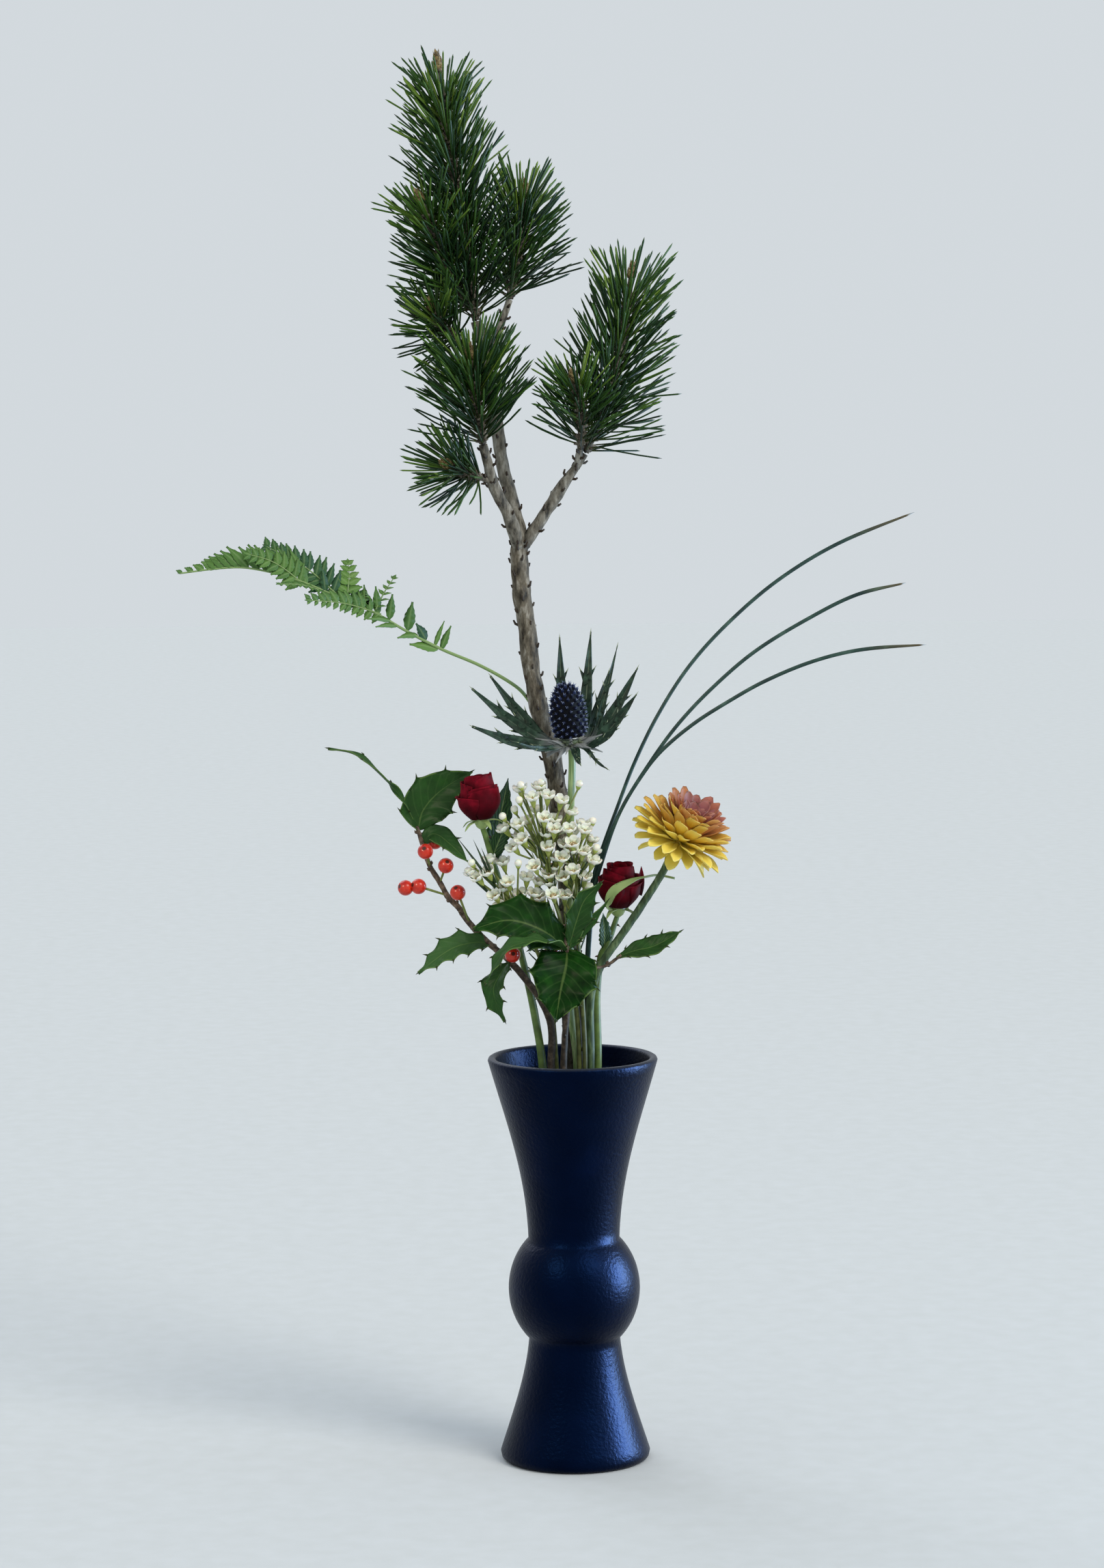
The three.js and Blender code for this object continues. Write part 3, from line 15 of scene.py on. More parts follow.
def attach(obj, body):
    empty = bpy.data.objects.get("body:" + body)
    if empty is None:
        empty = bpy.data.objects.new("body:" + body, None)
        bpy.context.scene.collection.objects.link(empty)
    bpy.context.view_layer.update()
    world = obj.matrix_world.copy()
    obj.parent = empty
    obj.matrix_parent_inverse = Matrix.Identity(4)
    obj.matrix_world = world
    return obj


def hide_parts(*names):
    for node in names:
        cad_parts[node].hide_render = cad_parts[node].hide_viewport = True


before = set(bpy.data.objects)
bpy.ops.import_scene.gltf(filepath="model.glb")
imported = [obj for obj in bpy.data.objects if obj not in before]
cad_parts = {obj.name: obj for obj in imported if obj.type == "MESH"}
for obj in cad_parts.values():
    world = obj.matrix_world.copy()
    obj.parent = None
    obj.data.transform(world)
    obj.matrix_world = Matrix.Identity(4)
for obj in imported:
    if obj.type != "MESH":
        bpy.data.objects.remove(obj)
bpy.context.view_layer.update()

# %% [markdown]
# Plants are measured in millimetres and Blender counts metres, so one value turns one into the
# other. Every stem, rib and twig is a smooth line through a few points. Blender's own Bezier
# stretches make it: each handle leans along the line from the point before to the point after, as
# automatic handles do in the editor.

# %% Lines through points
MM = 0.001
TO_VIEWER = Vector((0, -1, 0))
UP = Vector((0, 0, 1))
GOLDEN_ANGLE = math.radians(137.508)


def smooth_line(points, steps=6):
    """A smooth line through points in millimetres, as a list of points in metres."""
    knots = [Vector(p) * MM for p in points]
    last = len(knots) - 1
    ways = [(knots[min(i + 1, last)] - knots[max(i - 1, 0)]).normalized() for i in range(last + 1)]
    line = []
    for a, b, way_a, way_b in zip(knots, knots[1:], ways, ways[1:]):
        reach = (b - a).length / 3
        line += interpolate_bezier(a, a + way_a * reach, b - way_b * reach, b, steps + 1)[:-1]
    return line + [knots[-1]]


def even_line(line, count):
    """The same line as points at equal distances."""
    lengths = [0.0]
    for a, b in zip(line, line[1:]):
        lengths.append(lengths[-1] + (b - a).length)
    out = []
    k = 0
    for i in range(count):
        goal = lengths[-1] * i / (count - 1)
        while k < len(line) - 2 and lengths[k + 1] < goal:
            k += 1
        out.append(line[k].lerp(line[k + 1], (goal - lengths[k]) / (lengths[k + 1] - lengths[k])))
    return out


def heading(line, i):
    """The way a line runs at its point i."""
    return (line[min(i + 1, len(line) - 1)] - line[max(i - 1, 0)]).normalized()


def mix(a, b, share):
    """The value between a and b at a share from 0 to 1."""
    return a + (b - a) * share


def taper(first, last):
    """Half widths that change evenly along a line."""
    return lambda t: mix(first, last, t)


def by_ring(*widths):
    """Half widths given ring by ring."""
    return lambda t: widths[round(t * (len(widths) - 1))]


def stations(foot, way, distances):
    """Points in metres on a straight line, at distances in mm from its foot in mm."""
    return [(foot + way * s) * MM for s in distances]


def around(way, angle):
    """The direction square to a way, at an angle round it."""
    side = way.cross(TO_VIEWER if abs(way.y) < 0.95 else UP).normalized()
    return side * math.sin(angle) + side.cross(way) * math.cos(angle)


# %% [markdown]
# Each piece grows in a bmesh, Blender's mesh for editing. Operators work slowly in a mesh that is
# already large, so a needle or a petal is shaped in a small bmesh of its own and then gathered into
# the piece. Every point also keeps three numbers, across, along and tone: how far it lies from the
# rib, how far along the part, and a tone that a whole needle, petal or leaf shares. The materials
# read them to draw ribs, tips and the difference from one needle to the next.

# %% Small meshes and how they are gathered
SAME_PLACE = 1e-7


def new_part():
    """An empty small bmesh with the numbers that the materials read."""
    bm = bmesh.new()
    bm.verts.layers.float_vector.new("growth")
    return bm


def mark(bm, verts, across, along, tone):
    """Writes the three numbers on some points."""
    layer = bm.verts.layers.float_vector["growth"]
    for v in verts:
        v[layer] = (across, along, tone)


def gather(piece, part, finish=0):
    """Moves a small bmesh into the piece. finish says which of the piece's materials it wears."""
    if finish:
        for face in part.faces:
            face.material_index = finish
    mesh = bpy.data.meshes.new("part")
    part.to_mesh(mesh)
    piece.from_mesh(mesh)
    bpy.data.meshes.remove(mesh)
    part.free()


def grow(piece, shape, *about, finish=0, **how):
    """Makes one tube or blade in a small bmesh of its own and gathers it."""
    part = new_part()
    shape(part, *about, **how)
    gather(piece, part, finish)


def finish_piece(name, bm, materials, node):
    """Makes the object of a finished bmesh, which rides on the body and stands for its CAD node."""
    bmesh.ops.remove_doubles(bm, verts=bm.verts, dist=SAME_PLACE)
    bmesh.ops.recalc_face_normals(bm, faces=bm.faces)
    for face in bm.faces:
        face.smooth = True
    mesh = bpy.data.meshes.new(name)
    bm.to_mesh(mesh)
    bm.free()
    piece = bpy.data.objects.new(name, mesh)
    bpy.context.scene.collection.objects.link(piece)
    for material in materials:
        mesh.materials.append(material)
    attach(piece, "root")
    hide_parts(node)
    mesh.calc_loop_triangles()
    print(name, len(mesh.loop_triangles), "triangles")


# %% [markdown]
# A stem, a needle and a stalk are all the same shape: a ring of a few corners, extruded along a
# line and made wider or narrower on the way. The ring is carried from point to point by a matrix
# that lays it square across the line.

# %% A tube along a line
def across_line(place, way, face, wide, deep):
    """Lays a unit ring across a line: its x points sideways and its y to the face."""
    side = way.cross(face).normalized()
    up = side.cross(way)
    columns = (side * wide, up * deep, way, place)
    return Matrix([[c[i] for c in columns] for i in range(3)] + [[0, 0, 0, 1]])


def add_tube(bm, line, wide, deep=None, sides=6, face=TO_VIEWER, tone=0.5, pointed=False):
    """Extrudes a ring along the line. wide and deep give its half sizes in mm at a share from 0 to 1."""
    last = len(line) - 1
    deep = deep or wide
    ring = bmesh.ops.create_circle(bm, cap_ends=True, segments=sides, radius=1)["verts"]
    edges = list({e for v in ring for e in v.link_edges})
    before = Matrix.Identity(4)
    every = []
    for i, place in enumerate(line):
        t = i / last
        if i:
            grown = bmesh.ops.extrude_edge_only(bm, edges=edges)["geom"]
            ring = [g for g in grown if isinstance(g, bmesh.types.BMVert)]
            corners = set(ring)
            edges = [g for g in grown if isinstance(g, bmesh.types.BMEdge)
                     and g.verts[0] in corners and g.verts[1] in corners]
        laid = across_line(place, heading(line, i), face, wide(t) * MM, deep(t) * MM)
        bmesh.ops.transform(bm, matrix=laid @ before.inverted(), verts=ring)
        before = laid
        mark(bm, ring, 0, t, tone)
        every += ring
    if pointed:
        bmesh.ops.pointmerge(bm, verts=ring, merge_co=line[-1])
    else:
        bmesh.ops.edgeloop_fill(bm, edges=edges)
    return [v for v in every if v.is_valid]


# %% [markdown]
# A leaf or a petal starts as a flat grid that is bent to its rib. Each row of the grid has its own
# half width, so teeth and notches are rows that are wider or narrower. The halves may be folded up,
# cupped or waved, and at the end the sheet gets its thickness with the solidify operator.

# %% A blade on a rib
def add_blade(bm, rib, width_at, face, rows=12, columns=4, fold=0.0, cup=0.0, rake=0.0,
              thick=0.35, tone=0.5, wave=0.0, waves=3, dent=0.0):
    """A sheet on a rib in metres. width_at gives the half width in mm at a share of the rib.

    fold lifts both halves and cup their edges, rake draws the edges forward, and dent sinks the rib,
    all as shares of the half width. wave is the height in mm of waves along the edges.
    """
    line = even_line(rib, rows + 1)
    grid = bmesh.ops.create_grid(bm, x_segments=columns, y_segments=rows, size=1)["verts"]
    layer = bm.verts.layers.float_vector["growth"]
    for v in grid:
        x = v.co.x
        t = (v.co.y + 1) / 2
        i = round(t * rows)
        way = heading(line, i)
        side = Vector(face).cross(way).normalized()
        up = way.cross(side)
        half = width_at(t) * MM
        lift = fold * abs(x) * half + cup * x * x * half
        lift += wave * MM * x * x * math.sin(2 * math.pi * (t * waves + 0.25 * x))
        lift -= dent * half * math.exp(-(x * 5) ** 2)
        v.co = line[i] + side * (x * half) + up * lift + way * (rake * abs(x) * half)
        v[layer] = (x, t, tone)
    faces = list({f for v in grid for f in v.link_faces})
    bmesh.ops.solidify(bm, geom=faces, thickness=thick * MM)


def rounded(half, fullness=0.8, tip=0.06):
    """Half widths of a leaf with a rounded outline."""
    return lambda t: half * max(tip, math.sin(math.pi * min(1, t) ** fullness))


def toothed(half, teeth, notch, rows, fullness=0.8, tip=0.06):
    """A rounded outline whose every other row is drawn in, so that the rows between are teeth."""
    outline = rounded(half, fullness, tip)
    step = max(1, rows // (2 * teeth))
    return lambda t: outline(t) * (1 if round(t * rows) // step % 2 else notch)


# %% [markdown]
# Colours are written as the hex values that a picture program shows. Blender's shaders count light
# in a straight line, so one function turns them. Another adds a node: it takes values, colours and
# links for its sockets, and properties by name, and gives back the node's output, so each material
# reads as a short list of nodes. Two more hold what most plants need: one reads the three numbers
# that the points keep, and one lays a colour over another where such a number says so.

# %% Colours and nodes
def linear(code):
    """An sRGB hex colour as linear red, green, blue and alpha."""
    parts = [int(code[i:i + 2], 16) / 255 for i in (1, 3, 5)]
    return [p / 12.92 if p <= 0.04045 else ((p + 0.055) / 1.055) ** 2.4 for p in parts] + [1]


def new_material(name, **settings):
    """A material and its shader's sockets. What is the same all over is set on the socket itself."""
    material = bpy.data.materials.new(name)
    material.use_nodes = True
    sockets = material.node_tree.nodes["Principled BSDF"].inputs
    for socket, value in settings.items():
        sockets[socket.replace("_", " ")].default_value = value
    return material, sockets


def add_node(material, kind, inputs, feeds=None, stops=None, out=0, **settings):
    """Adds a node and gives back its output `out`. feeds is a shader socket that it drives."""
    tree = material.node_tree
    made = tree.nodes.new("ShaderNode" + kind)
    for name, value in settings.items():
        setattr(made, name, value)
    for socket, value in inputs.items():
        if isinstance(value, bpy.types.NodeSocket):
            tree.links.new(value, made.inputs[socket])
        else:
            made.inputs[socket].default_value = linear(value) if isinstance(value, str) else value
    if stops:
        ramp = made.color_ramp.elements
        while len(ramp) < len(stops):
            ramp.new(1)
        for element, (place, code) in zip(ramp, stops):
            element.position = place
            element.color = linear(code)
    if feeds:
        tree.links.new(made.outputs[out], feeds)
    return made.outputs[out]


def read_growth(material):
    """The three numbers that a piece's points keep, by name."""
    kept = add_node(material, "Attribute", {}, out="Vector", attribute_name="growth")
    parts = add_node(material, "SeparateXYZ", {"Vector": kept}).node.outputs
    return {"across": parts["X"], "along": parts["Y"], "tone": parts["Z"]}


def lay_over(material, ground, colour, number, low, high, first=0.0, last=1.0, feeds=None):
    """Lays a colour over the ground, with a share from first to last as a number goes low to high."""
    share = add_node(material, "MapRange", {"Value": number, "From Min": low, "From Max": high,
                                            "To Min": first, "To Max": last})
    return add_node(material, "Mix", {0: share, 6: ground, 7: colour}, feeds, out=2, data_type="RGBA")


# %% [markdown]
# The camera stands 2.6 metres in front of the vase, a little above the plants' middle, with a long
# lens, as the photograph was taken. Its place was fitted to the ellipses that the vase's rim and
# foot make in the picture.

# %% Camera
LENS = 98.5
EYE_PLACE = (-0.0113, -2.6, 0.664)
EYE_TILT = math.radians(90 - 5.415)
EYE_ROLL = math.radians(-0.45)
eye = bpy.data.cameras.new("Camera")
eye.sensor_fit = "VERTICAL"
eye.sensor_height = 36
eye.lens = LENS
camera = bpy.data.objects.new("Camera", eye)
turned = Matrix.Rotation(EYE_TILT, 4, "X") @ Matrix.Rotation(EYE_ROLL, 4, "Z")
camera.matrix_world = Matrix.Translation(EYE_PLACE) @ turned
bpy.context.scene.collection.objects.link(camera)
bpy.context.scene.camera = camera
print("camera at", tuple(round(c, 3) for c in camera.location))

# %% [markdown]
# The light is that of a bright room. Two wide suns give an even light that doesn't fade across the
# floor: the key comes from the right and above, and the other one lifts the edges from behind. A
# window on the right and a small lamp at the upper left are only there for their highlights on the
# glaze, so they are hidden from matt surfaces. A pale sky all round fills the shadows. The Standard
# view shows each colour as it was chosen.

# %% Lights
def aim(place):
    """Turns a light at this place to the middle of the arrangement."""
    return (Vector((0, 0, 0.42)) - Vector(place)).to_track_quat("-Z", "Y").to_euler()


def add_light(kind, name, place, spread, power, tint):
    """A soft light. Its spread is a sun's angle in radians, or the side of a square panel in metres."""
    lamp = bpy.data.lights.new(name, kind)
    lamp.energy = power
    lamp.color = linear(tint)[:3]
    if kind == "SUN":
        lamp.angle = spread
    else:
        lamp.size = spread
    light = bpy.data.objects.new(name, lamp)
    light.location = place
    light.rotation_euler = aim(place)
    bpy.context.scene.collection.objects.link(light)
    return light


add_light("SUN", "key_sun", (1.6, -1.6, 2.4), math.radians(28), 1.7, "#fff8ee")
add_light("SUN", "back_sun", (-1.2, 1.8, 2.2), math.radians(40), 0.7, "#f2f6ff")
window = add_light("AREA", "window_at_the_right", (1.5, 0.05, 0.45), 0.8, 105, "#bce0ff")
window.visible_diffuse = False
lamp_at_left = add_light("AREA", "lamp_at_the_left", (-0.9, -1.1, 1.2), 0.3, 11, "#fff0d4")
lamp_at_left.visible_diffuse = False
sky = bpy.data.worlds.new("pale_room")
sky.use_nodes = True
sky.node_tree.nodes["Background"].inputs["Color"].default_value = linear("#e6edf2")
sky.node_tree.nodes["Background"].inputs["Strength"].default_value = 0.82
bpy.context.scene.world = sky
bpy.context.scene.view_settings.view_transform = "Standard"

# %% [markdown]
# The floor is one large flat sheet of matt pale card, which shows the vase's soft shadow. It isn't
# part of the arrangement.

# %% Floor
FLOOR_HALF_WIDTH = 9
card, card_shader = new_material("pale_matt_card", Roughness=0.9, Specular_IOR_Level=0.2)
where = add_node(card, "TexCoord", {}, out="Object")
fibre = add_node(card, "TexNoise", {"Vector": where, "Scale": 60, "Detail": 4})
add_node(card, "ValToRGB", {"Fac": fibre}, card_shader["Base Color"],
         [(0.3, "#c3c8ca"), (0.7, "#c7cccf")])
floor_bm = bmesh.new()
bmesh.ops.create_grid(floor_bm, x_segments=1, y_segments=1, size=FLOOR_HALF_WIDTH)
floor_mesh = bpy.data.meshes.new("floor")
floor_bm.to_mesh(floor_mesh)
floor_bm.free()
floor_mesh.materials.append(card)
floor = bpy.data.objects.new("floor", floor_mesh)
bpy.context.scene.collection.objects.link(floor)
print("floor width in metres:", 2 * FLOOR_HALF_WIDTH)

# %% [markdown]
# The vase is thrown on a wheel: a flared cup on a ball on a flared foot, in one piece and hollow. A
# profile that is spun round the upright axis makes it the same way as the wheel does. The rim and
# the edge of the foot are rounded by a few close points, because a potter's sponge leaves no sharp
# corner.

# %% The vase's profile
VASE_HEIGHT = 250
RIM_RADIUS = 52
NECK_RADIUS = 28
BALL_RADIUS = 40.4
BALL_HALF_HEIGHT = 43
BALL_CENTRE = 106.5
FOOT_RADIUS = 46
FOOT_EDGE = 5
WALL = 5
BASE_THICKNESS = 8
LIP = 2


def ball_arc(inward, steps):
    """Radii and heights up the ball from neck to neck, some mm inward of its outside."""
    radius = BALL_RADIUS - inward
    turn = math.acos((NECK_RADIUS - inward) / radius)
    angles = [mix(-turn, turn, i / steps) for i in range(steps + 1)]
    high = BALL_HALF_HEIGHT - inward
    return [(radius * math.cos(a), BALL_CENTRE + high * math.sin(a)) for a in angles]


def bend(a, handle_a, handle_b, b, steps):
    """Radii and heights along one Bezier stretch, without its two ends."""
    ends = [Vector((p[0], p[1], 0)) for p in (a, handle_a, handle_b, b)]
    return [(p.x, p.y) for p in interpolate_bezier(*ends, steps + 1)[1:-1]]


outer_ball = ball_arc(0, 22)
inner_ball = ball_arc(WALL, 14)[::-1]
foot_edge = (FOOT_RADIUS, FOOT_EDGE)
rim_outside = (RIM_RADIUS, VASE_HEIGHT - LIP)
rim_inside = (RIM_RADIUS - WALL, VASE_HEIGHT - LIP)
floor_corner = (FOOT_RADIUS - WALL - 4, BASE_THICKNESS + 4)
profile = [(0, 0), (FOOT_RADIUS - 4.5, 0), (FOOT_RADIUS - 2.2, 0.5), (FOOT_RADIUS - 0.7, 1.8), foot_edge]
profile += bend(foot_edge, (38, 30), (30, 52), outer_ball[0], 16) + outer_ball
profile += bend(outer_ball[-1], (29.5, 180), (42, 212), rim_outside, 20) + [rim_outside]
profile += [(RIM_RADIUS - 0.5, VASE_HEIGHT - 0.7), (RIM_RADIUS - 1.6, VASE_HEIGHT),
            (RIM_RADIUS - 3.2, VASE_HEIGHT), (RIM_RADIUS - 4.5, VASE_HEIGHT - 0.7), rim_inside]
profile += bend(rim_inside, (37, 210), (24.5, 180), inner_ball[0], 14) + inner_ball
profile += bend(inner_ball[-1], (25, 52), (33, 30), floor_corner, 8)
profile += [floor_corner, (FOOT_RADIUS - WALL - 8, BASE_THICKNESS), (0, BASE_THICKNESS)]
print("profile points:", len(profile))

# %% [markdown]
# The glaze is an iron and cobalt glaze, fired until it is nearly black, and satin rather than wet.
# It settled into a fine pebble, like orange peel of about a millimetre, so highlights are soft and
# broken. A blue specular tint paints them blue, as if they reflected a bluish window. A
# slow drift between two navies keeps the large surfaces alive, and the rim is a little greyer where
# the glaze ran thin. The inner wall shines half as much as the outside: the points of the profile
# from the rim inward carry a tone of 1, and the specular level falls with it.

# %% Navy glaze
RIM_GREY_FROM, RIM_GREY_TO = 0.2486, 0.2499
# painted reflection colour: the blue Specular Tint makes every highlight look like a reflected bluish
# window
glaze, glaze_shader = new_material("satin_navy_glaze", Roughness=0.36, Specular_IOR_Level=0.14,
                                   Specular_Tint=linear("#4088ff"))
where = add_node(glaze, "TexCoord", {}, out="Object")
drift = add_node(glaze, "TexNoise", {"Vector": where, "Scale": 26, "Detail": 3})
blues = add_node(glaze, "ValToRGB", {"Fac": drift},
                 stops=[(0.3, "#01030c"), (0.55, "#020718"), (0.75, "#040c24")])
height = add_node(glaze, "SeparateXYZ", {"Vector": where}, out="Z")
lay_over(glaze, blues, "#2c3038", height, RIM_GREY_FROM, RIM_GREY_TO, feeds=glaze_shader["Base Color"])
pebble = add_node(glaze, "TexNoise", {"Vector": where, "Scale": 480, "Detail": 2})
add_node(glaze, "Bump", {"Height": pebble, "Strength": 0.35, "Distance": 0.0009},
         glaze_shader["Normal"])
grown = read_growth(glaze)
add_node(glaze, "MapRange", {"Value": grown["tone"], "To Min": 0.14, "To Max": 0.07},
         glaze_shader["Specular IOR Level"])

# %% Spinning the vase
VASE_STEPS = 96
vase_bm = new_part()
spots = [vase_bm.verts.new((r * MM, 0, z * MM)) for r, z in profile]
mark(vase_bm, spots[profile.index(rim_inside):], 0, 0, 1)
line_edges = [vase_bm.edges.new(pair) for pair in zip(spots, spots[1:])]
bmesh.ops.spin(vase_bm, geom=spots + line_edges, cent=(0, 0, 0), axis=(0, 0, 1), angle=2 * math.pi,
               steps=VASE_STEPS, use_merge=True)
finish_piece("vase_pot", vase_bm, [glaze], "vase")

# %% [markdown]
# The water fills the vase almost to its rim. The frame's own solid has the right shape, with a hole
# round every stem, so it stays and only gets a finish: still water over a dark glaze looks nearly
# black and reflects the room like a mirror. A very low ripple keeps the reflection from being dead.

# %% Water
water, water_shader = new_material("still_water", Roughness=0.04, IOR=1.33)
where = add_node(water, "TexCoord", {}, out="Object")
depth = add_node(water, "TexNoise", {"Vector": where, "Scale": 40, "Detail": 2})
add_node(water, "ValToRGB", {"Fac": depth}, water_shader["Base Color"],
         [(0.35, "#050b16"), (0.7, "#0e1a2c")])
add_node(water, "Bump", {"Height": depth, "Strength": 0.15, "Distance": 0.001},
         water_shader["Normal"])
water_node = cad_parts["water"]
water_node.data.materials.clear()
water_node.data.materials.append(water)
print("water wears", water.name)

# %% [markdown]
# The tall branch is pine wood: a trunk as thick as a finger that forks into three limbs. Bark isn't
# round and isn't smooth. A tube with many rings is pushed in and out by two sizes of noise, which
# are stretched along the wood as real furrows are. The short pegs on it are the bases of old
# needles, which stay on the twig for years after the needles fall.

# %% Lines of the pine wood
PINE_TRUNK = [(2, 2, 20), (0, 5, 246), (0, 5, 277), (-1, 6, 311), (-3, 8, 361), (-8, 9, 410),
              (-13, 10, 441), (-22, 10, 479), (-27, 9, 520), (-30, 8, 554), (-29, 8, 568)]
PINE_CENTRE = [(-29, 8, 562), (-34, 11, 589), (-39, 13, 607), (-42, 14, 628), (-46, 15, 653),
               (-50, 15, 678), (-55, 14, 698)]
PINE_LEFT = [(-30, 7, 562), (-38, -2, 585), (-45, -6, 599), (-48, -10, 612), (-51, -13, 624)]
PINE_RIGHT = [(-29, 8, 562), (-18, 7, 576), (-7, 6, 593), (3, 6, 607), (10, 6, 618)]
PINE_SECOND = [(-46.5, 15, 679), (-40, 20, 696), (-35, 23, 711)]
PINE_TUFT = [(-49, 15, 676), (-58, 10, 682), (-65, 6, 686)]
PINE_SIDE_LEFT = [(-46, -7, 601), (-52, -10, 604)]
PINE_SIDE_RIGHT = [(5, 6, 609), (7.5, 1, 621)]


def roughen(bm, verts, size, depth, stretch=2.5, seed=0.0):
    """Pushes points out and in by noise whose grains are `size` mm across and longer upward."""
    bm.normal_update()
    pushes = []
    for v in verts:
        spot = Vector((v.co.x, v.co.y, v.co.z / stretch)) / (size * MM)
        pushes.append(noise.noise(spot + Vector((seed, 0, 0))) * depth * MM)
    for v, push in zip(verts, pushes):
        v.co += v.normal * push


def add_pegs(piece, line, radius, count, rand, length):
    """Old needle bases all round a limb, each leaning up along it."""
    for i in range(count):
        t = (i + rand.random()) / count
        k = round(t * (len(line) - 1))
        way = heading(line, k)
        out = around(way, i * GOLDEN_ANGLE)
        root = line[k] + out * (radius(t) * 0.75 * MM)
        size = length * mix(0.6, 1.2, rand.random()) * MM
        peg = [root, root + out * size * 0.7 + way * size * 0.3, root + out * size + way * size]
        grow(piece, add_tube, peg, taper(1.1, 0.55), sides=5, face=way, tone=0.05)


# %% Growing the wood
rand = random.Random(3)
wood_bm = new_part()
# points, half widths at the foot and the end, sides, pegs, tone
limbs = [(PINE_TRUNK, 6.3, 5.2, 20, 110, 0.45), (PINE_CENTRE, 4.6, 3.2, 16, 26, 0.75),
         (PINE_LEFT, 4.2, 2.6, 14, 16, 0.7), (PINE_RIGHT, 4.2, 2.6, 14, 16, 0.7),
         (PINE_SECOND, 2.6, 2.2, 10, 10, 0.85), (PINE_TUFT, 2.0, 1.7, 10, 8, 0.85),
         (PINE_SIDE_LEFT, 2.0, 1.8, 8, 4, 0.85), (PINE_SIDE_RIGHT, 2.2, 2.0, 8, 6, 0.85)]
for number, (points, wide, thin, sides, pegs, tone) in enumerate(limbs):
    limb = new_part()
    line = smooth_line(points, 14 if sides > 12 else 7)
    verts = add_tube(limb, line, taper(wide, thin), sides=sides, tone=tone)
    roughen(limb, verts, 9, wide * 0.2, seed=number)
    roughen(limb, verts, 3, wide * 0.11, seed=number + 7)
    gather(wood_bm, limb)
    first = len(line) // 10 if points is PINE_TRUNK else 0
    add_pegs(wood_bm, line[first:], taper(wide, thin), pegs, rand, mix(2.0, 3.2, wide / 6.3))

# %% [markdown]
# Pine bark is matt and has three colours at once: a brown ground, pale grey flakes where the outer
# skin has lifted, and dark cracks. The flakes are about 4 mm wide and 11 mm long, so the noise that
# draws them is scaled to that and stretched upward. Younger wood has a higher tone and is greyer,
# and the pegs have the lowest and are nearly black. Painted shade darkens the foot of the trunk,
# down in the vase's mouth, toward near black.

# %% Pine bark
bark, bark_shader = new_material("pine_bark", Roughness=0.88, Specular_IOR_Level=0.2)
where = add_node(bark, "TexCoord", {}, out="Object")
grown = read_growth(bark)
squeeze = add_node(bark, "Mapping", {"Vector": where, "Scale": (1, 1, 0.35)})
flakes = add_node(bark, "TexNoise", {"Vector": squeeze, "Scale": 260, "Detail": 5, "Roughness": 0.62})
ground = add_node(bark, "ValToRGB", {"Fac": flakes},
                  stops=[(0.32, "#1f1c17"), (0.43, "#484237"), (0.56, "#6c6557"), (0.7, "#a5a196")])
grey = add_node(bark, "ValToRGB", {"Fac": flakes},
                stops=[(0.34, "#3c3a34"), (0.5, "#7c786d"), (0.7, "#a9a89f")])
aged = lay_over(bark, ground, grey, grown["tone"], 0.45, 0.85)
with_pegs = lay_over(bark, aged, "#33281f", grown["tone"], 0.1, 0.3, 0.85, 0.0)
# painted shade: below about 0.33 m, at the vase's mouth, the bark darkens toward near black
height = add_node(bark, "SeparateXYZ", {"Vector": where}, out="Z")
lay_over(bark, with_pegs, "#17130d", height, 0.28, 0.36, 0.75, 0.0, bark_shader["Base Color"])
add_node(bark, "Bump", {"Height": flakes, "Strength": 0.8, "Distance": 0.0016},
         bark_shader["Normal"])
finish_piece("pine_branch_wood", wood_bm, [bark], "pine_wood")

# %% [markdown]
# Pine needles grow in pairs from a short brown sheath, and a spray is a slim shoot with pairs set
# all round it, each turned by the golden angle from the last. At the foot of the shoot they stand
# well out, and at its tip they lean forward round the bud. A needle is a thin tube of three sides,
# flat on one side as the real one is, since two of them once filled one round bundle. It keeps its
# width nearly to the end and then comes to a blunt point. It is drawn with few faces because there
# are about two thousand.

# %% A pair of needles and a bud
NEEDLE_HALF_WIDTH = 0.72
BUD_SCALES = 26


def bent_line(root, way, toward, length, curve, steps=4):
    """A line that starts along `way` and turns toward another direction. Its last step is short."""
    line = [root]
    for _ in range(steps):
        way = (way + toward * (curve / steps)).normalized()
        line.append(line[-1] + way * (length * MM / steps))
    line.insert(-1, line[-2].lerp(line[-1], 0.8))
    return line


def needle_width(t):
    """Half width of a needle, which is a little narrower in its sheath."""
    return NEEDLE_HALF_WIDTH * (0.85 if t < 0.05 else 1)


def add_needle_pair(piece, root, way, toward, length, rand, tone):
    """Two needles that lean a little apart, and the sheath that holds them."""
    part = new_part()
    spread = around(way, rand.uniform(0, math.pi))
    for side in (-1, 1):
        start = (way + spread * side * rand.uniform(0.05, 0.15)).normalized()
        line = bent_line(root, start, toward, length * rand.uniform(0.9, 1.04), rand.uniform(0.0, 0.5), 3)
        add_tube(part, line, needle_width, lambda t: needle_width(t) * 0.8, sides=3,
                 face=spread * side, tone=tone + rand.uniform(-0.12, 0.12), pointed=True)
    gather(piece, part)
    grow(piece, add_tube, [root - way * 0.0006, root + way * 0.0028], taper(1, 1), sides=5,
         face=spread, finish=2)


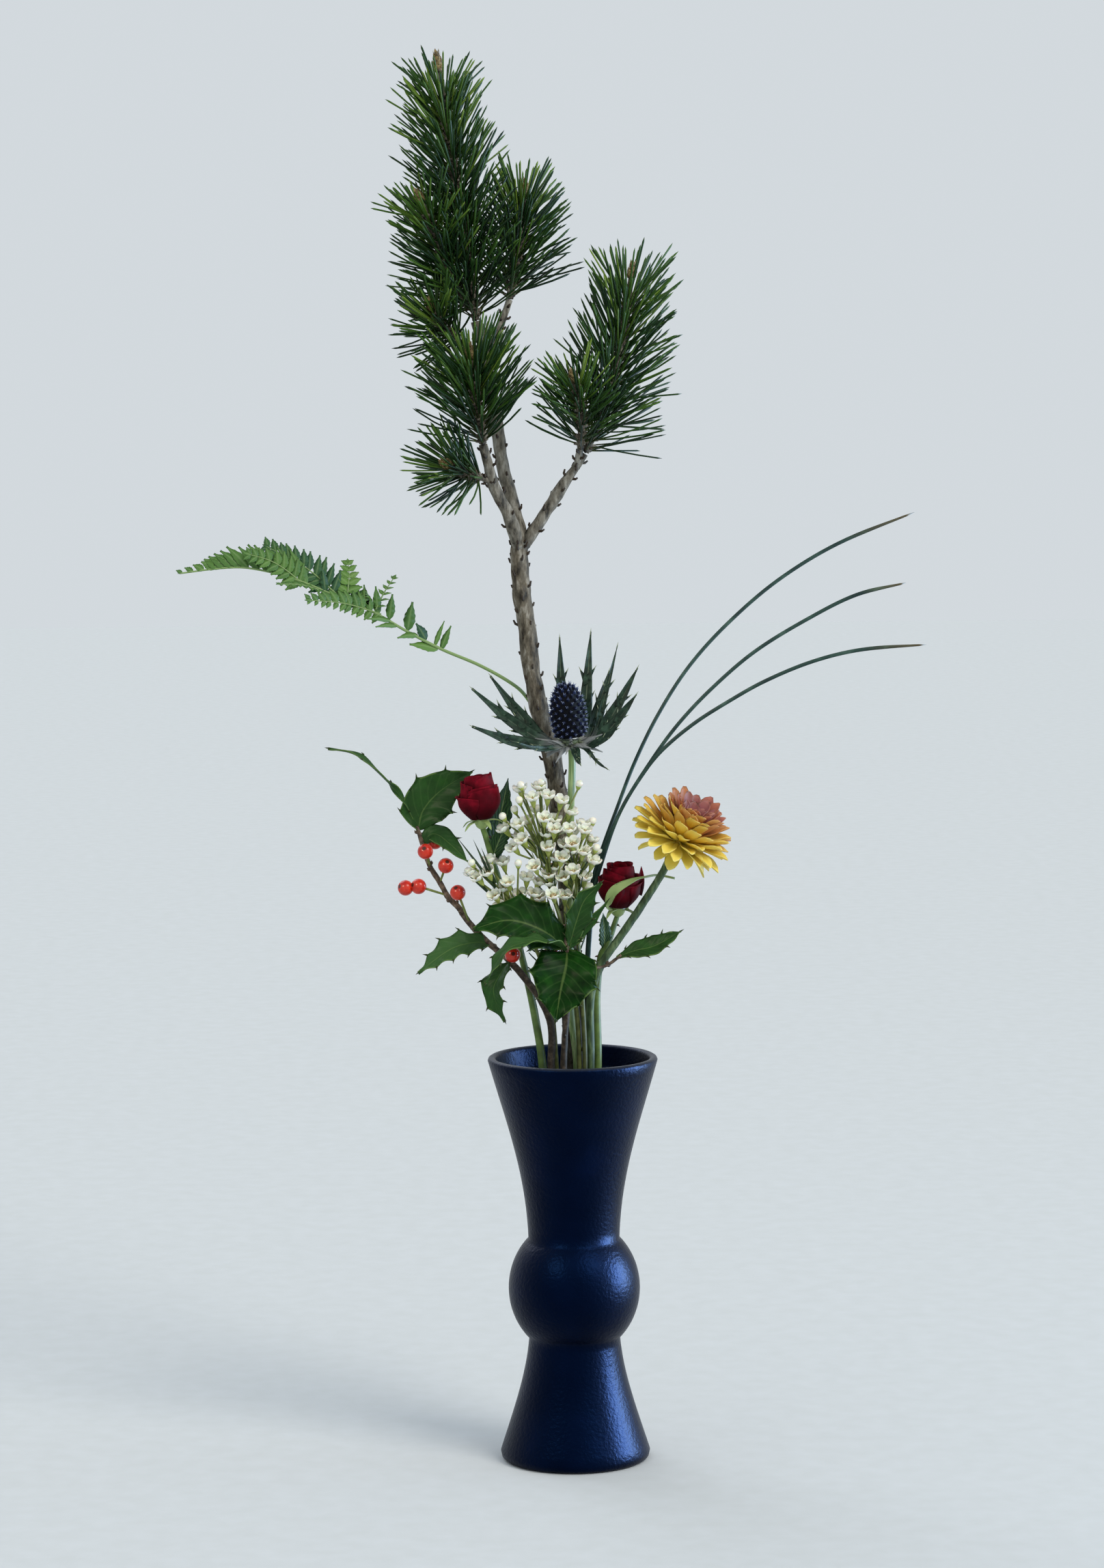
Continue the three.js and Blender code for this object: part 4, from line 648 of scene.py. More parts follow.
def add_bud(piece, foot, way, radius, length, rand):
    """A pine bud: a slim pointed core in a coat of small overlapping scales."""
    core = new_part()
    line = [foot + way * (length * MM * s) for s in (0, 0.15, 0.4, 0.7, 0.9, 1)]
    swell = by_ring(0.75, 1, 0.95, 0.66, 0.36, 0.1)
    add_tube(core, line, lambda t: radius * swell(t), sides=8, face=around(way, 0))
    for i in range(BUD_SCALES):
        t = (i + 0.5) / BUD_SCALES
        out = around(way, i * GOLDEN_ANGLE)
        width = radius * mix(1.0, 0.3, t ** 2)
        root = foot + way * (length * MM * t * 0.85) + out * (width * 0.8 * MM)
        tip = root + (way * 3.4 + out * 0.9) * MM
        add_blade(core, [root, (root + tip) / 2 + out * 0.0004, tip], rounded(1.0, 0.7, 0.1), out,
                  rows=3, columns=2, thick=0.3, tone=rand.random())
    gather(piece, core, 1)


# %% [markdown]
# Needles are waxy and half gloss. Their green runs from nearly black in the old ones to
# yellow-green in this year's, with a paler foot at the sheath. The tone of each needle picks its
# green, so the spray has depth even where many overlap.

# %% Needle green and bud brown
needle_green, green_shader = new_material("waxy_pine_needle", Roughness=0.5, Specular_IOR_Level=0.14)
grown = read_growth(needle_green)
by_age = add_node(needle_green, "ValToRGB", {"Fac": grown["tone"]},
                  stops=[(0.1, "#0e2410"), (0.4, "#1f3f17"), (0.65, "#406420"), (0.95, "#84a03c")])
lay_over(needle_green, by_age, "#8c9350", grown["along"], 0.0, 0.16, 0.45, 0.0, green_shader["Base Color"])
bud_brown, bud_shader = new_material("papery_bud_scale", Roughness=0.75)
where = add_node(bud_brown, "TexCoord", {}, out="Object")
patch = add_node(bud_brown, "TexNoise", {"Vector": where, "Scale": 420, "Detail": 3})
add_node(bud_brown, "ValToRGB", {"Fac": patch}, bud_shader["Base Color"],
         [(0.35, "#5a4a2e"), (0.55, "#8a7646"), (0.72, "#b3a06e")])

# %% Seven sprays
SHOOT_GAP = 0.75
SHOOT_STEPS = 59
BUD_SHARE = 0.9
BUD_RADIUS = 2.9
# twig, points of the shoot, pairs, longest and shortest needle, length of the bud, seed
SPRAYS = {
    "leader": (PINE_CENTRE, [(-63, 11, 762), (-71, 8.5, 808), (-76, 6, 848)], 260, 46, 36, 13, 11),
    "second": (PINE_SECOND, [(-28.5, 27, 748), (-26, 29, 776)], 120, 42, 34, 9, 23),
    "left": (PINE_LEFT, [(-55, -18, 650), (-58, -22, 676)], 130, 49, 38, 10, 37),
    "right": (PINE_RIGHT, [(23, 7, 646), (35, 9, 697), (39, 9, 724)], 170, 47, 40, 10, 41),
    "tuft_left": (PINE_TUFT, [(-75, -1, 694), (-81, -6, 706)], 60, 38, 32, 7, 53),
    "side_left": (PINE_SIDE_LEFT, [(-62, -17, 607), (-71, -24, 612)], 60, 38, 32, 7, 67),
    "side_right": (PINE_SIDE_RIGHT, [(8, -8, 643), (4, -15, 662)], 64, 38, 32, 7, 71),
}
LEADER_SIDE = [(-56, 13.6, 706), (-65, 9, 713), (-74, 4, 734), (-80, 0, 752), (-87, -5, 769)]


def add_shoot(piece, points, pairs, long, short, bud, rand):
    """A slim brown shoot with its pairs of needles and the bud at its end."""
    spine = even_line(smooth_line(points, 12), SHOOT_STEPS + 1)
    grow(piece, add_tube, spine, taper(2.3, 1.7), sides=8, finish=2)
    for i in range(pairs):
        share = ((i + 0.5) / pairs) ** 0.9
        place = share * BUD_SHARE * SHOOT_STEPS
        k = int(place)
        axis = heading(spine, k)
        lean = math.radians(mix(62, 42, share) + rand.uniform(-14, 14))
        out = around(axis, i * GOLDEN_ANGLE)
        way = axis * math.cos(lean) + out * math.sin(lean)
        root = spine[k].lerp(spine[k + 1], place - k) + out * 0.0014
        length = mix(long, short, share ** 3) * rand.uniform(0.84, 1.04)
        tone = mix(0.3, 0.6, share) + rand.uniform(-0.24, 0.24)
        add_needle_pair(piece, root, way, axis, length, rand, tone)
    tip_way = heading(spine, SHOOT_STEPS)
    add_bud(piece, spine[-1] - tip_way * 0.001, tip_way, BUD_RADIUS, bud, rand)


for name, (twig, points, *rest, seed) in SPRAYS.items():
    rand = random.Random(seed)
    spray_bm = new_part()
    end = Vector(twig[-1])
    start = end + (end - Vector(twig[-2])).normalized() * SHOOT_GAP
    add_shoot(spray_bm, [start, *points], *rest, rand)
    if name == "leader":
        add_shoot(spray_bm, LEADER_SIDE, 110, 40, 33, 9, rand)
    finish_piece("pine_spray_" + name, spray_bm, [needle_green, bud_brown, bark],
                 "pine_needles_" + name)

# %% [markdown]
# Steel grass is a rush with stiff narrow blades that arch under their own weight. Each blade is a
# flattened tube that stays nearly as wide to its end and then comes to a point. The tube has six
# sides, so a flat keel runs along it and catches the light. Green and blue-grey drift along the
# blade, and its very tip is dry and brown.

# %% Steel grass
GRASS = {
    "upper": [(9, 10, 160), (8.5, 9, 246), (8, 9, 290), (11, 10, 332), (12, 11, 352), (18, 12, 373),
              (28, 14, 400), (39, 16, 428), (54, 19, 458), (73, 22, 487), (97, 26, 513),
              (128, 30, 539), (165, 34, 561), (213, 38, 580)],
    "middle": [(8.5, 6, 160), (11.5, 6.5, 246), (8.5, 5, 290), (10.5, 5.5, 328), (13, 6, 353),
               (19, 7, 372), (31, 8, 401), (49, 8, 430), (66, 8, 453), (87, 8, 475), (113, 8, 497),
               (146, 8, 517), (175, 8, 531), (205, 8, 538)],
    "lower": [(8.8, 2.4, 160), (10.5, 3, 246), (9.5, 1, 291), (11.5, 1, 328), (14.5, 1, 354),
              (19, 1, 370), (30, 1, 400), (46, 0, 426), (57, -2, 439), (75, -4, 454), (95, -7, 467),
              (118, -10, 480), (147, -13, 492), (176, -16, 499), (215, -20, 502)],
}
GRASS_HALF_WIDTH = 1.3
GRASS_FLATNESS = 0.42
GRASS_TIP = 0.95


def grass_width(t):
    """Half width of a grass blade, which narrows only at its end."""
    return GRASS_HALF_WIDTH * (1 if t < GRASS_TIP else mix(1, 0.45, (t - GRASS_TIP) / 0.05))


grass_skin, grass_shader = new_material("waxy_steel_grass", Roughness=0.45, Specular_IOR_Level=0.25)
grown = read_growth(grass_skin)
where = add_node(grass_skin, "TexCoord", {}, out="Object")
fleck = add_node(grass_skin, "TexNoise", {"Vector": where, "Scale": 90, "Detail": 4})
tint = add_node(grass_skin, "ValToRGB", {"Fac": fleck},
                stops=[(0.3, "#1b3130"), (0.55, "#2b473f"), (0.75, "#4f6d60")])
lay_over(grass_skin, tint, "#5b4f35", grown["along"], 0.93, 1.0, feeds=grass_shader["Base Color"])
for name, points in GRASS.items():
    blade_bm = new_part()
    add_tube(blade_bm, smooth_line(points, 8), grass_width, lambda t: grass_width(t) * GRASS_FLATNESS,
             sides=6, pointed=True)
    finish_piece("grass_blade_" + name, blade_bm, [grass_skin], "grass_" + name)

# %% [markdown]
# The fern is a single frond, twice divided: side ribs, or pinnae, leave the main rib, and each
# carries two rows of small leaflets. The frond is seen nearly edge on, so the pinnae of its upper
# side lie along the main rib and point to its tip, and toward the tip they are so short that each
# is a single leaflet. One function makes a leaflet and another sets two rows of them along a rib.

# %% The fern frond
FERN_STALK = [(0, 14, 150), (-1, 17, 246), (-3, 20, 330), (-7, 21, 400), (-14, 21, 446),
              (-25, 20, 467), (-33, 18, 476), (-54, 12, 489), (-78, 5, 500), (-98, -1, 511),
              (-118, -5, 523), (-142, -9, 534), (-168, -13, 545), (-193, -15, 551),
              (-210, -16, 551), (-236, -17, 548)]
FLAT = Vector((0.1, -0.9, 0.4))
LEVEL = Vector((0.1, -0.35, 0.93))
# points of a pinna, lengths of its leaflets above and below, way that it faces, tone
FERN_PINNAE = [
    ([(-141, -9, 535), (-158, -8, 550), (-183, -9, 564)], 15, 12, FLAT, 0.22),
    ([(-160, -12, 541), (-177, -15, 554), (-194, -19, 560)], 12, 11, FLAT, 0.55),
    ([(-150, -10, 537), (-162, -20, 541), (-174, -32, 542)], 7, 7, LEVEL, 0.5),
    ([(-114, -4, 522), (-135, -13, 529), (-157, -26, 532)], 12, 8, FLAT, 0.5),
    ([(-134, -8, 534), (-133, -4, 546), (-134, 2, 554)], 9, 10, FLAT, 0.75),
    ([(-117, -5, 525), (-112, 0, 535), (-106, 8, 544)], 6, 6, LEVEL, 0.6),
    ([(-126, -6, 528), (-140, 4, 538), (-158, 16, 544)], 10, 9, FLAT, 0.3),
]
# root, tip, half width and tone of each single leaflet
FERN_LEAFLETS = [
    ((-123, -6, 526), (-124, -6, 540), 2.6, 0.6), ((-116, -4, 524), (-117, -5, 539), 2.7, 0.5),
    ((-109, -3, 519), (-107, -2, 534), 3.0, 0.45), ((-98, -1, 512), (-95, 1, 529), 3.8, 0.4),
    ((-87, 2, 506), (-93, 1, 516), 3.2, 0.1), ((-82, 4, 502), (-76, 8, 517), 1.6, 0.6),
    ((-78, 5, 500), (-72, 7, 514), 2.4, 0.5), ((-80, 4, 500), (-97, -1, 503.5), 3.2, 0.7),
    ((-104, -2, 515), (-117, -14, 515), 1.8, 0.6), ((-108, -3, 518), (-122, -17, 520), 1.8, 0.6),
    ((-92, 1, 509), (-104, -10, 508), 2.2, 0.6), ((-147, -10, 536), (-149, -10, 551), 2.5, 0.15),
]
STRIP_START = 92
LEAFLET_ROWS = 10


def add_leaflet(piece, root, tip, half, face, tone):
    """An oval leaflet with small teeth, from its root to its tip."""
    middle = root.lerp(tip, 0.5) + Vector((0, 0, 0.04)) * (tip - root).length
    grow(piece, add_blade, [root, middle, tip], toothed(half, 5, 0.86, LEAFLET_ROWS, 0.62, 0.2), face,
         rows=LEAFLET_ROWS, columns=2, fold=0.14, rake=0.22, thick=0.25, tone=tone)


def add_leaflet_rows(piece, rib, above, below, face, tone, rand, gap=4.6, slant=0.4, broad=2.8,
                     last=0.42):
    """A side rib with a row of leaflets on each side, which get shorter toward its tip.

    above and below give their length in mm, and last the share of it that the end ones have.
    """
    grow(piece, add_tube, rib, taper(0.55, 0.25), sides=4, tone=0.95, pointed=True)
    length = sum((b - a).length for a, b in zip(rib, rib[1:])) / MM
    for turn, reach in ((-1, above), (1, below)):
        count = round(length / gap) if reach else 0
        for i in range(count):
            t = (i + 0.5) / count
            k = round(t * (len(rib) - 1))
            axis = heading(rib, k)
            across = face.cross(axis).normalized() * turn
            out = (axis * (slant + 0.5 * t) + across).normalized()
            own = reach * mix(1, last, t ** 1.4) * rand.uniform(0.94, 1.06)
            leaf_face = (face + across * rand.uniform(-0.12, 0.12)).normalized()
            own_tone = min(0.9, max(0, tone + rand.uniform(-0.1, 0.1)))
            tip = rib[k] + out * own * MM
            add_leaflet(piece, rib[k], tip, min(broad, own * 0.32), leaf_face, own_tone)


rand = random.Random(8)
fern_bm = new_part()
stalk_line = smooth_line(FERN_STALK, 8)
grow(fern_bm, add_tube, stalk_line, taper(1.5, 0.5), sides=7, tone=0.95, pointed=True)
for rib, above, below, face, tone in FERN_PINNAE:
    rib = even_line(smooth_line(rib, 6), 30)
    add_leaflet_rows(fern_bm, rib, above, below, face, tone, rand)
    tip = rib[-1] + heading(rib, len(rib) - 1) * 0.002
    add_leaflet(fern_bm, rib[-3], tip, 1.2, face, tone)
for root, tip, half, tone in FERN_LEAFLETS:
    add_leaflet(fern_bm, Vector(root) * MM, Vector(tip) * MM, half, FLAT, tone)
add_leaflet_rows(fern_bm, stalk_line[STRIP_START:], 25, 0, FLAT, 0.5, rand, gap=5.6, slant=1.0,
                 broad=3.3, last=0.12)

# %% [markdown]
# A fern leaflet is thin and matt, mid green with a paler rib. Each leaflet's tone moves it between
# a fresh green and the bluer green of an older one, and the ribs have the highest tone and are a
# greyer, paler green.

# %% Fern green
fern_green, fern_shader = new_material("thin_fern_leaf", Roughness=0.65, Specular_IOR_Level=0.2)
grown = read_growth(fern_green)
by_tone = add_node(fern_green, "ValToRGB", {"Fac": grown["tone"]},
                   stops=[(0.0, "#1f463a"), (0.3, "#37602e"), (0.75, "#60883f"), (0.94, "#789457")])
off_rib = add_node(fern_green, "Math", {0: grown["across"]}, operation="ABSOLUTE")
lay_over(fern_green, by_tone, "#93ab78", off_rib, 0.0, 0.3, 0.3, 0.0, fern_shader["Base Color"])
finish_piece("fern_leaf", fern_bm, [fern_green], "fern_frond")

# %% [markdown]
# Sea holly has a blue cone of tiny flowers on a ruff of stiff spiny bracts. A bract is a folded
# blade that is broad near its foot, with a hard pale rib. Two lobes leave each side, and every lobe
# and the bract's own tip end in a needle. The bracts' feet are silvery and hairy, and a fringe of
# short silver scales stands out between them.

# %% Bracts
SEA_HOLLY_STEM = [(2.4, -5.2, 160), (2.5, -6, 246), (-1, -9, 280), (-1, -11, 313), (-1, -14, 364),
                  (0, -16, 406), (1, -17, 431), (0.5, -18, 445)]
RUFF_CENTRE = Vector((0.3, -18, 442.8))
BRACT_TIPS = [(-59, -24, 478), (-59, -34, 456), (-48, -16, 485), (-6, 0, 507), (13, 4, 510),
              (29, -4, 502), (41, -12, 489), (40, -26, 474), (29, -44, 457), (22, -38, 430),
              (-31, -48, 447), (6, -44, 433), (24, 6, 486)]
# each pair of lobes: the point of the rib it leaves, and its share of the bract's length
LOBES = [(10, 0.14), (15, 0.12)]
# numbers of the narrower bracts, and their share of the full width
THIN_BRACTS = {5: 0.5, 8: 0.5, 9: 0.3, 10: 0.5, 11: 0.7}
BRACT_FACE = Vector((0, -0.9, 0.45))
BRACT_POINTS = 25
BROADEST = 0.42
CUP_SPINES = 60
SILVER_SCALES = 26


def bract_line(end, length):
    """The rib of a bract, which leaves the ruff level and rises to its tip."""
    flat = Vector((end.x - RUFF_CENTRE.x, end.y - RUFF_CENTRE.y, 0)).normalized()
    shoulder = RUFF_CENTRE + flat * min(14.5, length * 0.4)
    shoulder.z += (end.z - RUFF_CENTRE.z) * 0.08 - 1
    middle = shoulder.lerp(end, 0.5) - Vector((0, 0, length * 0.04))
    return smooth_line([RUFF_CENTRE + flat * 3.5, shoulder, middle, end], 8)


def bract_width(t):
    """Half width of a full bract, which is broad near its foot and runs out to a point."""
    left = 1 - max(0, t - BROADEST) / (1 - BROADEST)
    return mix(1.3, 4.0, min(1, t / BROADEST)) * max(0.06, left) ** 0.8


def add_spine(part, root, way, length, tone=1.0):
    """A needle on the end of a lobe. Its length is in mm."""
    add_tube(part, [root, root + way * length * 0.5 * MM, root + way * length * MM], taper(0.42, 0.12),
             sides=4, face=BRACT_FACE, tone=tone, pointed=True)


def add_lobe(piece, root, out, lobe, rand):
    """A short side lobe of a bract, with its spine."""
    end = root + out * lobe * MM
    part = new_part()
    add_blade(part, [root, root.lerp(end, 0.5), end], lambda t: lobe * 0.24 * (1 - 0.9 * t), BRACT_FACE,
              rows=4, columns=2, fold=0.3, thick=0.5)
    mark(part, part.verts, 1, 0.6, rand.uniform(0.3, 0.7))
    add_spine(part, end - out * 0.0012, out, 3.4)
    gather(piece, part)


# %% The ruff
rand = random.Random(21)
ruff_bm = new_part()
for number, tip in enumerate(BRACT_TIPS):
    end = Vector(tip)
    length = (end - RUFF_CENTRE).length
    rib = even_line(bract_line(end, length), BRACT_POINTS)
    narrow = THIN_BRACTS.get(number, 1)
    part = new_part()
    add_blade(part, rib, lambda t: narrow * bract_width(t), BRACT_FACE, rows=20, columns=6, fold=0.28,
              thick=0.55, tone=rand.uniform(0.3, 0.7), wave=0.5, waves=2.5, dent=0.12)
    tip_way = heading(rib, len(rib) - 1)
    add_spine(part, rib[-1] - tip_way * 0.002, tip_way, 4.5)
    gather(ruff_bm, part)
    for at, reach in LOBES:
        way = heading(rib, at)
        across = BRACT_FACE.cross(way).normalized()
        for turn in (-1, 1):
            out = (way * 0.86 + across * turn * 0.5).normalized()
            lobe = min(11, length * reach) * max(0.6, narrow) * rand.uniform(0.85, 1.15)
            add_lobe(ruff_bm, rib[at - (turn > 0)], out, lobe, rand)
grow(ruff_bm, add_tube, smooth_line(SEA_HOLLY_STEM, 8), taper(2.3, 2.3), sides=10, finish=1)
cup = new_part()
cup_line = stations(Vector((0.4, -18, 440)), UP, (0, 2, 4, 6))
add_tube(cup, cup_line, lambda t: mix(2.2, 6.2, t ** 0.7), sides=12)
for i in range(CUP_SPINES):
    out = around(UP, i * GOLDEN_ANGLE)
    root = RUFF_CENTRE * MM + out * 0.005 + UP * rand.uniform(-0.002, 0.003)
    add_spine(cup, root, (out + UP * rand.uniform(-0.4, 0.8)).normalized(), rand.uniform(3, 6), 0.9)
gather(ruff_bm, cup)
for i in range(SILVER_SCALES):
    out = around(UP, i * GOLDEN_ANGLE)
    way = (out + UP * rand.uniform(-0.75, 0.55)).normalized()
    root = (RUFF_CENTRE + out * 4.5) * MM
    tip = root + way * rand.uniform(11, 19) * MM
    part = new_part()
    add_blade(part, [root, root.lerp(tip, 0.5) + UP * 0.0006, tip], rounded(1.5, 0.4, 0.1),
              BRACT_FACE, rows=6, columns=2, fold=0.25, thick=0.4)
    mark(part, part.verts, 1, 0.05, rand.uniform(0.3, 0.7))
    gather(ruff_bm, part)

# %% [markdown]
# A bract is leathery. Its top is grey green with a powder of wax, the rib and the spines are a pale
# sage, and its foot is silvery. The number across the blade finds the rib, and the number along it
# finds the foot. The stem under it is pale green with darker stripes.

# %% Leathery bracts and a striped stem
bract_skin, bract_shader = new_material("leathery_bract", Roughness=0.58, Specular_IOR_Level=0.2)
grown = read_growth(bract_skin)
where = add_node(bract_skin, "TexCoord", {}, out="Object")
cloud = add_node(bract_skin, "TexNoise", {"Vector": where, "Scale": 240, "Detail": 4})
wax = add_node(bract_skin, "ValToRGB", {"Fac": cloud},
               stops=[(0.32, "#12231a"), (0.52, "#1f3628"), (0.72, "#37503f")])
off_rib = add_node(bract_skin, "Math", {0: grown["across"]}, operation="ABSOLUTE")
ribbed = lay_over(bract_skin, wax, "#a3b193", off_rib, 0.02, 0.12, 0.3, 0.0)
silver = lay_over(bract_skin, ribbed, "#a3a5a6", grown["along"], 0.02, 0.3, 0.72, 0.0)
lay_over(bract_skin, silver, "#8d9878", grown["tone"], 0.8, 0.9, feeds=bract_shader["Base Color"])
add_node(bract_skin, "Bump", {"Height": cloud, "Strength": 0.3, "Distance": 0.0005},
         bract_shader["Normal"])

striped, striped_shader = new_material("ribbed_green_stem", Roughness=0.55)
where = add_node(striped, "TexCoord", {}, out="Object")
pull = add_node(striped, "Mapping", {"Vector": where, "Scale": (1, 1, 0.05)})
lines = add_node(striped, "TexNoise", {"Vector": pull, "Scale": 900, "Detail": 2})
add_node(striped, "ValToRGB", {"Fac": lines}, striped_shader["Base Color"],
         [(0.36, "#5f7d42"), (0.5, "#7e9a5c"), (0.64, "#a3b77f")])
add_node(striped, "Bump", {"Height": lines, "Strength": 0.4, "Distance": 0.0006},
         striped_shader["Normal"])
finish_piece("sea_holly_ruff", ruff_bm, [bract_skin, striped], "sea_holly_stem")

# %% [markdown]
# The cone is a dome of about a hundred and fifty tiny flowers in the golden-angle spirals that
# sunflowers show too. Each ends in small points that stand out from the dome, blue-grey against a
# nearly black navy ground, which gives the cone its regular lattice.

# %% The cone
CONE_FOOT = Vector((0.1, -18.3, 448))
CONE_TOP = Vector((-3, -21, 479))
CONE_RADIUS = 9.6
FLOWERS_ON_CONE = 150


def cone_radius(t):
    """Radius of the cone's body, which is a dome that is widest below its middle."""
    return CONE_RADIUS * math.sqrt(max(0.04, 1 - (abs(2 * t - 0.8) / 1.25) ** 2.4))


cone_bm = new_part()
axis = (CONE_TOP - CONE_FOOT).normalized()
body = [CONE_FOOT.lerp(CONE_TOP, i / 16) * MM for i in range(17)]
grow(cone_bm, add_tube, body, cone_radius, sides=24, tone=0.0)
rand = random.Random(5)
for i in range(FLOWERS_ON_CONE):
    t = mix(0.02, 1.0, (i + 0.5) / FLOWERS_ON_CONE)
    out = around(axis, i * GOLDEN_ANGLE)
    way = (out + axis * mix(-0.05, 1.9, t ** 3)).normalized()
    root = (CONE_FOOT.lerp(CONE_TOP, t) + out * (cone_radius(t) - 0.7)) * MM
    flower = new_part()
    add_tube(flower, [root, root + way * 0.0012, root + way * 0.002], by_ring(1.25, 1.1, 0.6), sides=5,
             face=axis, tone=mix(0.25, 0.5, rand.random()))
    for k in range(3):
        split = (way + around(way, k * 2.1 + i) * 0.3).normalized()
        tip = root + split * rand.uniform(3.0, 3.9) * MM
        add_tube(flower, [root + way * 0.0012, tip], taper(0.48, 0.3), sides=3, face=axis,
                 tone=rand.uniform(0.75, 1.0), pointed=True)
    gather(cone_bm, flower)

# %% [markdown]
# The blue is in the flowers' own skin and is soft, without gloss. The body has the lowest tone and
# is nearly black, the small cups are navy, and the points are pale grey blue.

# %% Sea holly blue
thistle, thistle_shader = new_material("soft_blue_flower_skin", Roughness=0.75, Specular_IOR_Level=0.1)
grown = read_growth(thistle)
where = add_node(thistle, "TexCoord", {}, out="Object")
haze = add_node(thistle, "TexNoise", {"Vector": where, "Scale": 150, "Detail": 2})
wander = add_node(thistle, "MapRange", {"Value": haze, "From Min": 0.3, "From Max": 0.7,
                                        "To Min": -0.1, "To Max": 0.1})
shifted = add_node(thistle, "Math", {0: grown["tone"], 1: wander}, operation="ADD")
add_node(thistle, "ValToRGB", {"Fac": shifted}, thistle_shader["Base Color"],
         [(0.05, "#04060e"), (0.4, "#0e1630"), (0.7, "#2a3760"), (0.95, "#8390b0")])
finish_piece("sea_holly_flower_cone", cone_bm, [thistle], "sea_holly_cone")

# %% [markdown]
# The chrysanthemum is a head of many broad petals in rings, flat on top. The lower rings spread and
# droop, the upper ones stand. A petal is a hollow blade like a small boat, narrow at its foot and
# broadest near its blunt end. Each ring is turned half a step from the one below, so the petals lie
# over each other like tiles.

# %% Chrysanthemum petals
MUM_STEM = [(8, -6, 150), (11, -7, 246), (11, -9, 284), (13, -10, 296), (19, -12, 310),
            (30, -13, 326), (43, -14, 345), (55, -15, 364), (60, -15.5, 373.5)]
MUM_FOOT = Vector((60, -15.5, 373.5))
MUM_AXIS = Vector((0.43, -0.26, 0.865)).normalized()
# lean from the axis in degrees, height, petals, length, turn up of the ends
MUM_RAYS = [(121, 12.5, 4, 27, -0.08), (105, 13, 8, 28, -0.06), (94, 13, 11, 31.5, -0.02),
            (82, 12.5, 13, 33, 0.02), (70, 12.5, 14, 33.5, 0.05), (58, 12.5, 14, 33, 0.1),
            (48, 13.5, 12, 30.5, 0.12)]
MUM_CROWN = [(45, 18.5, 14, 29, 0.08), (34, 19, 11, 25, 0.05), (21, 19, 8, 20, 0.0)]
RAY_HALF_WIDTH = 4.4
CROWN_HALF_WIDTH = 4.0


def boat(half):
    """Half widths of a petal that is narrow at its foot, broad near its end and blunt."""
    def width(t):
        swell = 0.34 + 0.66 * min(1, t / 0.62) ** 1.2
        close = math.sqrt(max(0.05, 1 - max(0, (t - 0.66) / 0.345) ** 2.4))
        return half * swell * close
    return width


def petal_tone(way, rand):
    """Yellow in front and below, bronze toward the top, mauve where a petal points up and right."""
    toward = 0.5 * way.x + 0.85 * way.z + 0.1 * way.y
    return min(1, max(0.05, 0.3 + 0.74 * toward + rand.uniform(-0.1, 0.1)))


def add_ring(piece, lean, height, count, length, curl, half, turn, rand):
    """One ring of petals round the head's axis."""
    for i in range(count):
        out = around(MUM_AXIS, 2 * math.pi * (i + turn) / count)
        tilt = math.radians(lean + rand.uniform(-6, 6))
        way = MUM_AXIS * math.cos(tilt) + out * math.sin(tilt)
        up = MUM_AXIS * math.sin(tilt) - out * math.cos(tilt)
        own = length * rand.uniform(0.86, 1.0)
        root = MUM_FOOT + MUM_AXIS * height + out * 2
        turn_up = curl + rand.uniform(-0.05, 0.05)
        shoulder = root + way * own * 0.6 + up * own * turn_up * 0.35
        end = root + way * own * 0.97 + up * own * turn_up
        grow(piece, add_blade, smooth_line([root, shoulder, end], 5),
             boat(half * rand.uniform(0.85, 1.1)), up, rows=10, columns=6, cup=rand.uniform(0.3, 0.6),
             thick=0.4, tone=petal_tone(way, rand), wave=0.5, waves=1.5)


def add_core(piece, low, high, wide, narrow):
    """The short solid middle that a head's petals are rooted in."""
    line = stations(MUM_FOOT, MUM_AXIS, [mix(low, high, s) for s in (0, 0.25, 0.6, 1)])
    grow(piece, add_tube, line, taper(wide, narrow), sides=16)


rand = random.Random(31)
rays_bm = new_part()
add_core(rays_bm, 4.2, 13, 5.5, 8.0)
for row, ring in enumerate(MUM_RAYS):
    add_ring(rays_bm, *ring, RAY_HALF_WIDTH, 0.5 * (row % 2), rand)
crown_bm = new_part()
add_core(crown_bm, 13.4, 23, 6.5, 4.0)
for row, ring in enumerate(MUM_CROWN):
    add_ring(crown_bm, *ring, CROWN_HALF_WIDTH, 0.5 * (row % 2) + 0.2, rand)

# %% [markdown]
# The petals are satin and let some light through. Their colour goes from pale yellow in the
# drooping ones through clear yellow to bronze and a dusty mauve, and the tone of each petal says
# where in that row it stands. Toward its end and its edges a yellow petal fades to cream, a bronze
# one hardly.

# %% Petal yellow and bronze
petal_skin, petal_shader = new_material("satin_flower_petal", Roughness=0.6, Specular_IOR_Level=0.12,
                                        Subsurface_Weight=0.1, Subsurface_Scale=0.003)
grown = read_growth(petal_skin)
by_tone = add_node(petal_skin, "ValToRGB", {"Fac": grown["tone"]},
                   stops=[(0.05, "#efdc66"), (0.3, "#ebd048"), (0.55, "#d9b040"), (0.7, "#c2854a"),
                          (0.84, "#ad634c"), (1.0, "#95525a")])
off_rib = add_node(petal_skin, "Math", {0: grown["across"]}, operation="ABSOLUTE")
edge = add_node(petal_skin, "Math", {0: off_rib, 1: 3.0}, operation="POWER")
end = add_node(petal_skin, "Math", {0: grown["along"], 1: 5.0}, operation="POWER")
either = add_node(petal_skin, "Math", {0: edge, 1: end}, operation="MAXIMUM")
pale = add_node(petal_skin, "MapRange", {"Value": grown["tone"], "From Min": 0.4, "From Max": 0.8,
                                         "To Min": 0.5, "To Max": 0.1})
fade = add_node(petal_skin, "Math", {0: either, 1: pale}, operation="MULTIPLY")
